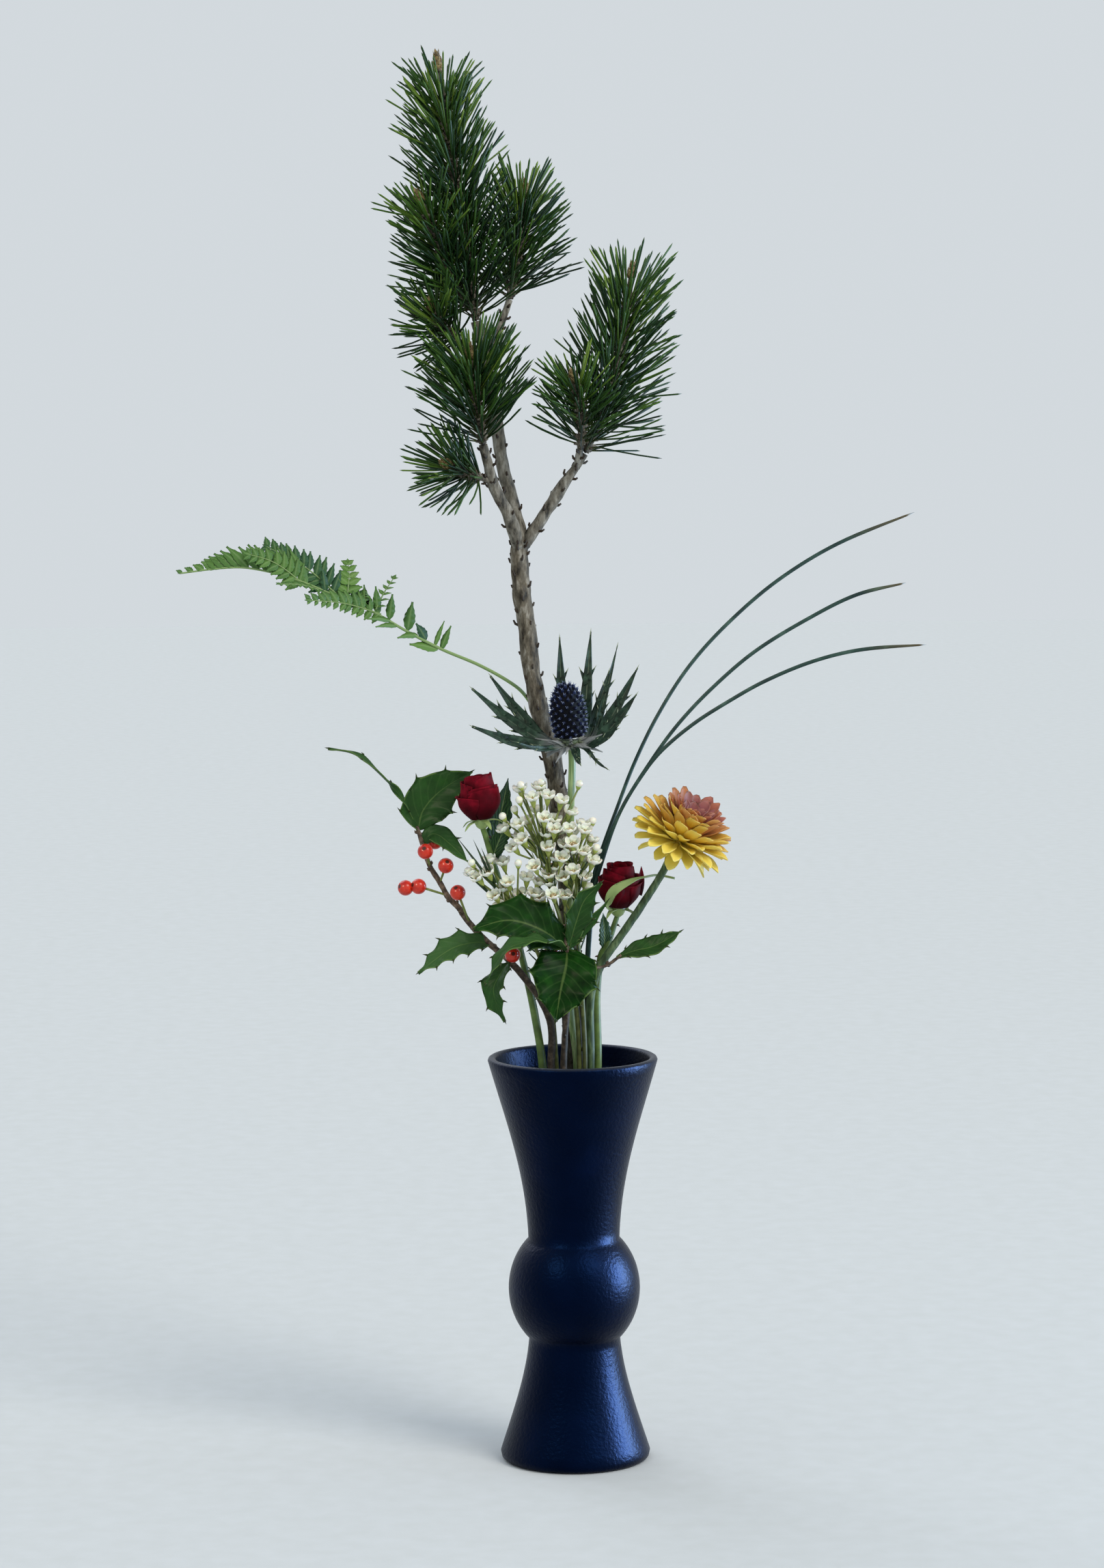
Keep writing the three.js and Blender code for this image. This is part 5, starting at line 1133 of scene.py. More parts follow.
add_node(petal_skin, "Mix", {0: fade, 6: by_tone, 7: "#ead983"}, petal_shader["Base Color"], out=2,
         data_type="RGBA")
finish_piece("chrysanthemum_ray_petals", rays_bm, [petal_skin], "chrysanthemum_rays")
finish_piece("chrysanthemum_crown_petals", crown_bm, [petal_skin], "chrysanthemum_crown")

# %% [markdown]
# Its stem is thick, grey green and ribbed, and ends in a green cup of short scales under the head.

# %% Chrysanthemum stem
CUP_SCALES = 30
mum_stem_bm = new_part()
part = new_part()
verts = add_tube(part, smooth_line(MUM_STEM, 8), taper(2.5, 2.3), sides=14, tone=0.4)
roughen(part, verts, 2.2, 0.25, stretch=12)
gather(mum_stem_bm, part)
part = new_part()
cup_line = stations(MUM_FOOT, MUM_AXIS, (-1.5, -0.2, 1.2, 2.6, 3.8))
add_tube(part, cup_line, lambda t: mix(2.5, 5.5, math.sqrt(t)), sides=16, tone=0.6)
for i in range(CUP_SCALES):
    up = i / (CUP_SCALES - 1)
    out = around(MUM_AXIS, i * GOLDEN_ANGLE)
    root = (MUM_FOOT + MUM_AXIS * mix(0.2, 2.6, up) + out * mix(2.6, 4.6, up)) * MM
    tip = root + (out * 2.3 + MUM_AXIS * 1.4) * MM
    add_blade(part, [root, root.lerp(tip, 0.5), tip], rounded(1.1, 0.7, 0.1), MUM_AXIS, rows=3,
              columns=2, thick=0.35, tone=0.8)
gather(mum_stem_bm, part)

grey_stem, grey_shader = new_material("grey_green_stem", Roughness=0.6, Specular_IOR_Level=0.25)
where = add_node(grey_stem, "TexCoord", {}, out="Object")
pull = add_node(grey_stem, "Mapping", {"Vector": where, "Scale": (1, 1, 0.25)})
streak = add_node(grey_stem, "TexNoise", {"Vector": pull, "Scale": 420, "Detail": 4})
add_node(grey_stem, "ValToRGB", {"Fac": streak}, grey_shader["Base Color"],
         [(0.33, "#2c3f26"), (0.5, "#435a39"), (0.68, "#6b8158")])
add_node(grey_stem, "Bump", {"Height": streak, "Strength": 0.5, "Distance": 0.0007},
         grey_shader["Normal"])
finish_piece("chrysanthemum_stalk", mum_stem_bm, [grey_stem], "chrysanthemum_stem")

# %% [markdown]
# A spray rose bud is a spiral of petals that wrap each other. Each petal here is a grid that is
# wrapped round the bud's axis: it leaves the cup narrow and swells to the bud's belly, and its
# upper lip rolls out. The inner petals stand up as a short open cylinder with rims at one height,
# and the outer ones are broader and lower. One of them has come loose and leans out at the side.

# %% Rose petals
ROSE_RADIUS = 12.8
ROSE_HEIGHT = 27.5
BELLY = 0.4
LIP_START = 0.8
ROSE_EAR = [(39, -6, 351), (41.8, -7, 359), (42.6, -7, 367.5)]
ROSE_CUP_HEIGHT = 6
ROSE_LEFT = [(-13, -5, 165), (-18.5, -4, 246), (-22, -2, 271), (-27, 0, 296), (-33, -1, 322),
             (-40, -5, 347), (-48, -10, 373), (-52, -13, 388), (-53.5, -14.5, 392.5)]
ROSE_LEFT_AXIS = Vector((-0.1, -0.06, 0.99)).normalized()
ROSE_RIGHT = [(12, -1, 165), (15.5, -1, 246), (15, -1, 284), (16, -1, 300), (18, -2, 313),
              (22, -3, 320), (26, -3, 331), (28, -3, 337)]
ROSE_RIGHT_AXIS = Vector((0.06, -0.12, 0.97)).normalized()
# size, height, half span in degrees, width at the lip, roll of the lip
INNER_PETALS = [(0.2, 0.92, 120, 0.9, 0.3), (0.34, 0.98, 110, 0.95, 0.6), (0.46, 0.94, 100, 0.92, 0.8),
                (0.58, 1.0, 95, 0.9, 1.0), (0.68, 0.95, 88, 0.85, 1.0), (0.78, 1.0, 80, 0.78, 0.9),
                (0.84, 0.94, 76, 0.74, 0.8)]
OUTER_PETALS = [(0.91, 0.86, 76, 0.76, 0.7), (0.97, 0.76, 74, 0.82, 0.8), (1.0, 0.64, 70, 0.9, 0.8)]


def add_wrapped_petal(piece, foot, axis, angle, size, height, span, lip_width, roll, corner, tone):
    """A petal wrapped round the bud. corner lifts its right end, or its left end if negative."""
    part = new_part()
    grid = bmesh.ops.create_grid(part, x_segments=12, y_segments=12, size=1)["verts"]
    layer = part.verts.layers.float_vector["growth"]
    for v in grid:
        u = v.co.x
        t = (v.co.y + 1) / 2
        swell = math.sin(min(1, t * height / BELLY) * math.pi / 2)
        above = max(0, t * height - BELLY) / (1 - BELLY)
        radius = ROSE_RADIUS * size * mix(0.5, 1, swell) * mix(1, lip_width, above ** 1.5)
        lip = max(0, (t - LIP_START) / (1 - LIP_START)) ** 1.7
        radius += roll * lip * (0.6 + 0.4 * math.cos(u * 2.6))
        side = max(0, u * (1 if corner > 0 else -1) - 0.35)
        rise = ROSE_HEIGHT * height * t * (1 - 0.12 * u * u * t * t) - 0.35 * lip * roll
        rise += abs(corner) * side * t ** 3
        out = around(axis, angle + u * math.radians(span) * mix(0.62, 1, min(1, t * 1.6)))
        v.co = (foot + out * radius + axis * rise) * MM
        v[layer] = (u, t, tone)
    bmesh.ops.solidify(part, geom=part.faces[:], thickness=0.5 * MM)
    gather(piece, part)


def make_bloom(name, node, points, axis, turn, loose, ear, seed):
    """loose holds outer petals: angle, size, height, span, lip width, roll, corner. ear is a rib."""
    rand = random.Random(seed)
    bloom_bm = new_part()
    foot = Vector(points[-1]) + axis * (ROSE_CUP_HEIGHT + 0.4)
    for k, (size, height, *rest) in enumerate(INNER_PETALS + OUTER_PETALS):
        add_wrapped_petal(bloom_bm, foot, axis, turn + k * GOLDEN_ANGLE, size,
                          height * rand.uniform(0.97, 1), *rest, rand.uniform(-1.5, 1.5),
                          rand.uniform(0.2, 0.8))
    for petal in loose:
        add_wrapped_petal(bloom_bm, foot, axis, *petal, 0.6)
    if ear:
        grow(bloom_bm, add_blade, smooth_line(ear, 5), lambda t: 3.6 * (1 - t ** 1.6) + 0.2,
             Vector((0.5, -0.85, 0)), rows=10, columns=6, cup=0.4, thick=0.5, tone=0.7)
    bowl = stations(foot, axis, (0, 1.5, 4, 7, 10))
    grow(bloom_bm, add_tube, bowl, lambda t: mix(3.5, 8.0, t ** 0.6), sides=14, tone=0.2)
    finish_piece(name, bloom_bm, [rose_skin], node)


# %% [markdown]
# Red rose petals are velvet: tiny cones in the skin catch light at the edges, which Sheen stands
# for. The red is a deep crimson, nearly burgundy low in the bud where petals shade each other, and
# the rolled lips are a lighter red.

# %% Rose velvet
rose_skin, rose_shader = new_material("velvet_rose_petal", Roughness=0.7, Specular_IOR_Level=0.05,
                                      Sheen_Weight=0.05, Sheen_Roughness=0.4,
                                      Sheen_Tint=linear("#e0607a"))
grown = read_growth(rose_skin)
where = add_node(rose_skin, "TexCoord", {}, out="Object")
cloud = add_node(rose_skin, "TexNoise", {"Vector": where, "Scale": 130, "Detail": 3})
level = add_node(rose_skin, "Math", {0: grown["along"], 1: cloud, 2: -0.1}, operation="MULTIPLY_ADD")
add_node(rose_skin, "ValToRGB", {"Fac": level}, rose_shader["Base Color"],
         [(0.0, "#37020a"), (0.25, "#5b0514"), (0.42, "#7e0c20"), (0.6, "#43030e")])
make_bloom("rose_left_petals", "rose_left_bloom", ROSE_LEFT, ROSE_LEFT_AXIS, 0.4,
           [(-1.1, 1.03, 0.56, 62, 0.98, 1.8, -1.0), (0.55, 1.0, 0.7, 64, 0.84, 0.8, 1.5),
            (0.95, 0.86, 1.0, 66, 0.76, 1.0, 4.0)], None, 4)
make_bloom("rose_right_petals", "rose_right_bloom", ROSE_RIGHT, ROSE_RIGHT_AXIS, 1.05,
           [(1.4, 1.02, 0.6, 50, 0.95, 1.2, 0.5), (-0.9, 1.02, 0.66, 66, 0.9, 1.0, -1.0),
            (0.5, 1.0, 0.56, 60, 0.92, 0.8, 1.0)], ROSE_EAR, 9)

# %% [markdown]
# Below each bud are a green cup with five narrow sepals, a thorny stem and a few toothed leaves.
# The right rose has one very long sepal that sweeps out to the side. A thorn is a short cone whose
# tip hooks down.

# %% Rose stems, cups and leaves
LONG_SEPAL = [(26, -6, 341), (22, -16, 344), (25, -23, 354), (37, -22.5, 361), (46, -12, 362),
              (53, -5, 362), (63, -5, 360)]
# rib, half width, way that the leaf faces
ROSE_LEFT_LEAVES = [([(-47, -9, 370), (-45, 1, 388), (-42, 3, 402), (-38, 3, 421)], 8, (0.3, -0.9, 0.1)),
                    ([(-48, -10, 373), (-44, -12, 384), (-37, -13, 398)], 5.5, (0.3, -0.8, 0.5))]
ROSE_RIGHT_LEAVES = [([(20, -2, 316), (20, -8, 327), (19, -12, 340)], 4.5, (0.3, -0.9, 0.3))]
THORNS = 7
LEAF_TEETH = 8
LEAF_ROWS = 32


def add_rose_stem(piece, points, axis, sepals, turn, leaves, rand):
    """A thorny stem with the green cup, the sepals and the leaves of one rose."""
    foot = Vector(points[-1])
    part = new_part()
    line = smooth_line(points, 8)
    verts = add_tube(part, line, lambda t: mix(2.8, 1.7, t ** 0.8), sides=10, tone=0.3)
    roughen(part, verts, 5, 0.25, stretch=4)
    cup_line = stations(foot, axis, (-0.5, 1, 2.5, 4.5, ROSE_CUP_HEIGHT))
    add_tube(part, cup_line, lambda t: mix(2.0, 5.2, math.sqrt(t)), sides=14, tone=0.8)
    for i in range(THORNS):
        k = round(mix(0.35, 0.92, (i + rand.random()) / THORNS) * (len(line) - 1))
        out = around(heading(line, k), i * GOLDEN_ANGLE)
        root = line[k] + out * 0.0014
        thorn = [root, root + out * 0.0014 - UP * 0.0002, root + out * 0.0026 - UP * 0.0009]
        add_tube(part, thorn, taper(0.9, 0.15), sides=5, face=UP, tone=0.05, pointed=True)
    for i in range(sepals):
        out = around(axis, turn + 2 * math.pi * i / sepals)
        root = foot + axis * (ROSE_CUP_HEIGHT - 1.4) + out * 3
        rib = smooth_line([root, root + out * 6.5 - axis * 0.6, root + out * 11 - axis * 4], 4)
        add_blade(part, rib, lambda t: 2.1 * (1 - t) ** 0.6 + 0.1, axis, rows=8, columns=4, cup=0.2,
                  thick=0.4, tone=0.75)
    gather(piece, part)
    for rib, half, face in leaves:
        grow(piece, add_blade, smooth_line(rib, 8), toothed(half, LEAF_TEETH, 0.86, LEAF_ROWS, 0.75),
             Vector(face), rows=LEAF_ROWS, columns=6, fold=0.2, rake=0.2, thick=0.35, wave=0.4,
             waves=2, dent=0.05, finish=1)


def draw_veins(material, off_rib, along, slant, count):
    """Side veins that leave the rib at a slant, as a wave between -1 and 1."""
    leant = add_node(material, "Math", {0: off_rib, 1: slant, 2: along}, operation="MULTIPLY_ADD")
    waves = add_node(material, "Math", {0: leant, 1: count}, operation="MULTIPLY")
    return add_node(material, "Math", {0: waves}, operation="SINE")


def long_sepal_width(t):
    """Half width of the long sepal, which is broad in its first half and then a thread."""
    return 0.45 + 2.3 * math.sin(math.pi * min(1, t / 0.66)) ** 2


rose_green, rose_green_shader = new_material("smooth_rose_stem", Roughness=0.5, Specular_IOR_Level=0.3)
grown = read_growth(rose_green)
where = add_node(rose_green, "TexCoord", {}, out="Object")
cloud = add_node(rose_green, "TexNoise", {"Vector": where, "Scale": 160, "Detail": 3})
level = add_node(rose_green, "Math", {0: cloud, 1: 0.7, 2: grown["tone"]}, operation="MULTIPLY_ADD")
add_node(rose_green, "ValToRGB", {"Fac": level}, rose_green_shader["Base Color"],
         [(0.35, "#5b3a2c"), (0.5, "#4f6334"), (0.7, "#65803f"), (1.0, "#93a968")])
soft_leaf, soft_leaf_shader = new_material("matt_rose_leaf", Roughness=0.55, Specular_IOR_Level=0.25)
grown = read_growth(soft_leaf)
off_rib = add_node(soft_leaf, "Math", {0: grown["across"]}, operation="ABSOLUTE")
veins = draw_veins(soft_leaf, off_rib, grown["along"], -0.35, 50.0)
leaf_green = add_node(soft_leaf, "ValToRGB", {"Fac": veins},
                      stops=[(0.0, "#1f3f20"), (0.8, "#2c5128"), (1.0, "#446836")])
lay_over(soft_leaf, leaf_green, "#8ea56c", off_rib, 0.02, 0.12, 0.6, 0.0,
         soft_leaf_shader["Base Color"])
add_node(soft_leaf, "Bump", {"Height": veins, "Strength": 0.25, "Distance": 0.0005},
         soft_leaf_shader["Normal"])

rand = random.Random(12)
stem_bm = new_part()
add_rose_stem(stem_bm, ROSE_LEFT, ROSE_LEFT_AXIS, 5, 0.4, ROSE_LEFT_LEAVES, rand)
finish_piece("rose_left_stalk", stem_bm, [rose_green, soft_leaf], "rose_left_stem")
stem_bm = new_part()
add_rose_stem(stem_bm, ROSE_RIGHT, ROSE_RIGHT_AXIS, 4, 1.05, ROSE_RIGHT_LEAVES, rand)
grow(stem_bm, add_blade, smooth_line(LONG_SEPAL, 8), long_sepal_width, Vector((0.2, -0.85, 0.5)),
     rows=28, columns=4, fold=0.3, thick=0.6, tone=0.85)
finish_piece("rose_right_stalk", stem_bm, [rose_green, soft_leaf], "rose_right_stem")

# %% [markdown]
# Waxflower fills the middle of the arrangement with a cloud of small white cups. A floret is a
# green cone, five rounded petals that curve in, and a flat middle with dark specks. Every floret
# has its own thin stalk from the sprig, so the cloud is built from the stalks outward, and a few
# round buds and needle leaves stand between. Petals have only a few faces each because there are
# some hundreds of them.

# %% Waxflower florets
WAX_SPRIGS = {
    "left": {
        "stem": [(-7, -3, 160), (-10, -3, 246), (-13, -8, 285), (-18, -13, 308), (-26, -18, 328),
                 (-33, -22, 341)],
        "florets": [(-50, -26, 366), (-56, -25, 363), (-46, -27, 352), (-38, -28, 360),
                    (-31, -22, 352), (-27, -22, 362), (-41, -18, 371)],
        "buds": [(-32, -29, 372), (-60, -24, 372)],
    },
    "centre": {
        "stem": [(2, -11, 160), (4, -12, 246), (2, -15, 290), (-3, -18, 320), (-9, -21, 345),
                 (-14, -22, 365), (-17, -23, 380)],
        "florets": [(-23, -27, 411), (-14, -25, 412), (-6, -24, 409), (-16, -31, 399), (-31, -26, 395),
                    (-14, -28, 381), (-10, -29, 392), (-29, -28, 386), (-22, -32, 370),
                    (-18, -22, 350), (-11, -33, 353), (-6, -31, 375), (-20, -14, 402),
                    (-24, -13, 383)],
        "buds": [(-30, -26, 419), (-18, -21, 420), (-31, -27, 410), (-34, -21, 404), (-41, -24, 400),
                 (5, -22, 419)],
    },
    "right": {
        "stem": [(5, -12, 160), (7.5, -12.5, 246), (6, -17, 290), (4, -20, 320), (3, -22, 345),
                 (3, -22, 362), (2, -22, 372)],
        "florets": [(-1, -27, 392), (8, -25, 391), (1, -31, 384), (7, -25, 378), (13, -23, 372),
                    (1, -29, 367), (8, -24, 362), (-4.5, -28, 363), (12, -14, 384)],
        "buds": [(15, -20, 380), (13, -18, 396)],
    },
}
WAX_NEEDLES = [((-46, -25, 357), (-70, -21, 389)), ((-47, -24, 359), (-59.5, -22, 387)),
               ((-46, -25, 360), (-54.5, -24, 382)), ((-48, -22, 352), (-64, -24, 366))]
FLORET_SIZE = 1.14
FLORET_ROOM = 7.4
PETALS = 5
FIFTH_TURN = 1.2566
# places of the finishes in a waxflower's list of materials
GREEN, MIDDLE, STALK, LEAF = 1, 2, 3, 4


def add_floret(piece, centre, way, rand):
    """An open cup: calyx cone, middle and five petals. Positions in mm."""
    grow(piece, add_tube, stations(centre, way, (-6.0, -4.5, -2.2, -0.4)), by_ring(0.7, 1.3, 1.9, 2.4),
         sides=7, face=around(way, 0), finish=GREEN)
    middle = new_part()
    add_tube(middle, stations(centre, way, (-0.5, 0.15, 0.5)), by_ring(2.4, 2.2, 1.2), sides=7,
             face=around(way, 0))
    for k in range(PETALS):
        out = around(way, k * FIFTH_TURN + 0.6)
        root = (centre + out * 1.5) * MM
        add_tube(middle, [root, root + way * 1.3 * MM], taper(0.34, 0.34), sides=3, face=out)
    gather(piece, middle, MIDDLE)
    start = rand.uniform(0, 6)
    for k in range(PETALS):
        out = around(way, start + k * FIFTH_TURN)
        root = centre + out * 1.9 - way * 0.5
        belly = centre + (out * 3.9 + way * 0.9) * FLORET_SIZE
        lip = centre + (out * 4.4 + way * 3.0) * FLORET_SIZE
        grow(piece, add_blade, [p * MM for p in (root, belly, lip)], by_ring(1.4, 2.7, 2.65, 1.4),
             (way - out * 0.6).normalized(), rows=3, columns=2, cup=0.42, thick=0.5, tone=rand.random())


def add_bud_head(piece, centre, way, rand):
    """A shut floret: its cone and a round bud."""
    grow(piece, add_tube, stations(centre, way, (-3.6, -2.2, -0.6)), by_ring(0.7, 1.5, 2.1), sides=7,
         face=around(way, 0), finish=GREEN)
    ball = new_part()
    bmesh.ops.create_icosphere(ball, subdivisions=2, radius=2.4 * MM,
                               matrix=Matrix.Translation((centre + way * 0.7) * MM))
    mark(ball, ball.verts, 0.2, 0.6, rand.random())
    gather(piece, ball)


def branch_share(line, centre, order):
    """Where on the sprig a floret's stalk leaves it: below the floret and near it."""
    best = 0.5
    for step in range(11):
        t = 0.5 + step * 0.05
        place = line[round(t * (len(line) - 1))] / MM
        best_place = line[round(best * (len(line) - 1))] / MM
        if place.z < centre.z - 12 and (place - centre).length < (best_place - centre).length + 2:
            best = t
    return best - 0.02 * (order % 7)


def extra_florets(places, rand):
    """More florets between the given ones, each clear of all others, to close the cloud."""
    grown = [Vector(p) for p in places]
    for base in list(grown):
        for _ in range(12):
            spot = base + Vector((rand.uniform(-9, 9), rand.uniform(-2, 9), rand.uniform(-8, 7)))
            if all((spot - other).length > FLORET_ROOM for other in grown):
                grown.append(spot)
                break
    return grown


def add_stalk(piece, start, foot, order, rand):
    """The thin stalk of one floret. Every other stalk carries a pale young leaf."""
    knee = start.lerp(foot, 0.55) + Vector((0, 0, 1.5))
    grow(piece, add_tube, [start * MM, knee * MM, foot * MM], taper(0.6, 0.6), sides=4, finish=STALK)
    if order % 2:
        root = start.lerp(foot, 0.4)
        way = (foot - start).normalized()
        end = root + (way + around(way, order)).normalized() * rand.uniform(8, 14)
        grow(piece, add_tube, [root * MM, root.lerp(end, 0.5) * MM, end * MM], taper(0.55, 0.55),
             sides=3, pointed=True)


# %% Three sprigs
LEAVES_ON_SPRIG = 16
rand = random.Random(17)
wax_pieces = {}
for name, sprig in WAX_SPRIGS.items():
    wax_bm = new_part()
    line = smooth_line(sprig["stem"], 8)
    grow(wax_bm, add_tube, line, taper(1.7, 1.0), sides=7, finish=STALK)
    heads = [(p, True) for p in extra_florets(sprig["florets"], rand)]
    heads += [(Vector(p), False) for p in sprig["buds"]]
    for order, (centre, is_open) in enumerate(heads):
        start = line[round(branch_share(line, centre, order) * (len(line) - 1))] / MM
        way = ((centre - start).normalized() + Vector((0, -0.45, 0.5))).normalized()
        add_stalk(wax_bm, start, centre - way * (5.6 if is_open else 3.2), order, rand)
        add_head = add_floret if is_open else add_bud_head
        add_head(wax_bm, centre, way, rand)
    for i in range(LEAVES_ON_SPRIG):
        k = round(mix(0.4, 0.99, (i + rand.random()) / LEAVES_ON_SPRIG) * (len(line) - 1))
        axis = heading(line, k)
        way = (axis * 0.75 + around(axis, i * GOLDEN_ANGLE) * 0.66).normalized()
        grow(wax_bm, add_tube, bent_line(line[k], way, axis, rand.uniform(12, 20), 0.3, 3),
             taper(0.62, 0.372), sides=3, face=around(axis, i), pointed=True, finish=LEAF)
    wax_pieces[name] = wax_bm
for root, tip in WAX_NEEDLES:
    root, tip = Vector(root) * MM, Vector(tip) * MM
    middle = root.lerp(tip, 0.5) + Vector((0, -0.001, 0.0005))
    grow(wax_pieces["left"], add_tube, [root, middle, tip], taper(0.9, 0.65), sides=4, pointed=True,
         finish=LEAF)

# %% [markdown]
# The petals have the thick, slightly translucent white of candle wax, a little green toward the
# foot, and the smooth half gloss that names the plant. The cones are yellow green, the middles
# cream with dark specks, the stalks olive and the leaves dark.

# %% Waxflower finishes
wax_white, wax_shader = new_material("waxy_white_petal", Roughness=0.4, Specular_IOR_Level=0.35,
                                     Subsurface_Weight=0.2, Subsurface_Scale=0.002)
grown = read_growth(wax_white)
add_node(wax_white, "ValToRGB", {"Fac": grown["along"]}, wax_shader["Base Color"],
         [(0.0, "#b9c088"), (0.3, "#e3e6cd"), (0.8, "#f5f4e8")])


def plain_plant(name, roughness, scale, stops):
    """A skin whose colour drifts a little, with painted shade that darkens the foot of a stem."""
    skin, shader = new_material(name, Roughness=roughness, Specular_IOR_Level=0.25)
    spot = add_node(skin, "TexCoord", {}, out="Object")
    drift = add_node(skin, "TexNoise", {"Vector": spot, "Scale": scale, "Detail": 3})
    unshaded = add_node(skin, "ValToRGB", {"Fac": drift}, stops=stops)
    # painted shade: low down, where stems enter the vase's mouth, the colour darkens toward near black
    height = add_node(skin, "SeparateXYZ", {"Vector": spot}, out="Z")
    lay_over(skin, unshaded, "#15160e", height, 0.27, 0.33, 0.65, 0.0, shader["Base Color"])
    return skin


cone_green = plain_plant("waxy_green_calyx", 0.45, 300, [(0.35, "#8fa048"), (0.65, "#b3bd6a")])
speckled = plain_plant("speckled_flower_middle", 0.5, 900, [(0.42, "#7c5f3c"), (0.56, "#dccfa4")])
olive_stalk = plain_plant("thin_olive_stalk", 0.55, 200, [(0.35, "#5d6b32"), (0.65, "#87924f")])
dark_needle = plain_plant("dark_needle_leaf", 0.5, 200, [(0.35, "#1d2f1e"), (0.65, "#3a5230")])
wax_finishes = [wax_white, cone_green, speckled, olive_stalk, dark_needle]
for name, wax_bm in wax_pieces.items():
    finish_piece("waxflower_cloud_" + name, wax_bm, wax_finishes, "waxflower_" + name)

# %% [markdown]
# Holly leaves are stiff and glossy, with a thick margin that waves up and down and ends in spines.
# The outline is made of arcs that are hollow between one spine and the next, so a leaf's width
# falls away quickly beside each spine. A sharp little cone is set on every point.

# %% Holly leaves
HOLLY_LEFT_TWIG = [(-8, -11, 150), (-13, -10, 246), (-13, -11, 271), (-20, -12, 288), (-38, -12, 311),
                   (-50, -10, 321), (-61, -7, 332), (-69, -5, 343), (-75, -3, 349), (-80, -2, 358),
                   (-85, -1, 366), (-88, 0, 373), (-92, 2, 386), (-94, 3, 392)]
HOLLY_FRONT_TWIG = [(-2, -14, 155), (-5.5, -16, 246), (-3, -22, 285), (-1.5, -26, 306),
                    (-3, -28, 319), (-4, -27, 335)]
LAST_LEAF_STALK = [(-2, -28, 318), (6, -28, 311), (18, -22, 308), (30, -22, 315)]
# rib, half width, fullness, way that the leaf faces, spines, share of painted sky sheen
HOLLY_LEFT_LEAVES = [
    ([(-94, 3, 391), (-100, 2, 406), (-110, -2, 419), (-130, -5, 437), (-147, -6, 441)], 4.6, 1.5,
     (-0.6, -0.12, 0.8), 3, 0.5),
    ([(-93, 3, 390), (-90, 4, 402), (-79, 6, 414), (-60, 8, 425)], 16.5, 0.62,
     (0.1, -0.95, 0.25), 3, 0.4),
    ([(-91, 1.5, 382), (-84, -1, 388), (-74, -10, 383), (-62.5, -15, 372)], 7.5, 0.7,
     (0.1, -0.8, 0.6), 2, 0.55),
    ([(-50, -10, 321), (-58, -15, 323), (-73, -21, 320), (-93, -26, 306)], 9.5, 0.75,
     (-0.1, -0.75, 0.65), 4, 0.9),
    ([(-38, -12, 311), (-43, -18, 305), (-48, -23, 294), (-41, -26, 276)], 8.6, 0.8,
     (-0.6, -0.75, 0.2), 3, 0.5),
]
HOLLY_FRONT_LEAVES = [
    ([(-3, -28, 321), (-19, -33, 333), (-38, -36, 339), (-59, -38, 334)], 17.5, 0.85,
     (0, -0.85, 0.5), 4, 0.08),
    ([(-3, -28, 319), (-12, -41, 326), (-24, -49, 328), (-40, -56, 323), (-52, -57, 303)], 8.6, 0.8,
     (-0.2, -0.3, 0.93), 4, 0.7),
    ([(-3, -28, 319), (-3.5, -38, 312), (-7, -44, 297), (-10, -46, 279)], 22.5, 0.66,
     (0.1, -0.9, 0.4), 3, 0.0),
    ([(-2, -28, 321), (3, -31, 338), (8, -33, 351), (18, -33, 361)], 9, 0.9, (0.3, -0.9, -0.2), 3, 0.35),
    ([(-2, -28, 320), (10, -27, 335), (22, -25, 349)], 3.4, 0.8, (0.4, -0.9, 0), 2, 0.35),
    ([(27, -22, 314), (38, -22, 318), (50, -23, 321), (66, -25, 330)], 7.5, 0.95,
     (-0.2, -0.75, 0.6), 3, 0.4),
]


ROWS_PER_TOOTH = 6
SPINE = {"sides": 5, "tone": 2, "pointed": True}


def holly_outline(half, fullness, spines):
    """Half widths with a point at each spine and a hollow arc between."""
    def width(t):
        phase = t * (2 * spines + 1)
        near = 1 - abs(phase % 2 - 1)
        outline = max(0.04, math.sin(math.pi * min(1, t) ** fullness))
        return half * outline * (0.85 + 0.15 * near ** 4)
    return width


def add_holly_leaf(piece, rib_points, half, fullness, face, spines, sheen):
    """A waved leaf and its spines. sheen is its tone, and says how much painted sky sheen greys it."""
    rib = even_line(smooth_line(rib_points, 8), 60)
    rows = (2 * spines + 1) * ROWS_PER_TOOTH
    face = Vector(face).normalized()
    part = new_part()
    width = holly_outline(half, fullness, spines)
    wave = min(1.6, half * 0.12)
    add_blade(part, rib, width, face, rows=rows, columns=8, fold=0.14, cup=0.08, rake=0.12,
              thick=0.7, tone=sheen, wave=wave, waves=spines + 0.5, dent=0.06)
    line = even_line(rib, rows + 1)
    for tooth in range(spines):
        i = (2 * tooth + 1) * ROWS_PER_TOOTH
        way = heading(line, i)
        side = face.cross(way).normalized()
        up = way.cross(side)
        own = width(i / rows) * MM
        for turn in (-1, 1):
            lift = up * (0.2 * own - turn * wave * MM)
            edge = line[i] + side * turn * own * 0.96 + lift + way * 0.12 * own
            out = (side * turn * 0.8 + way * 0.6).normalized()
            add_tube(part, [edge, edge + out * 0.0014, edge + out * 0.0032], taper(0.7, 0.12), face=face,
                     **SPINE)
    way = heading(line, rows)
    end = line[-1]
    add_tube(part, [end - way * 0.001, end + way * 0.0008, end + way * 0.0024], taper(0.6, 0.12),
             face=face, **SPINE)
    gather(piece, part)


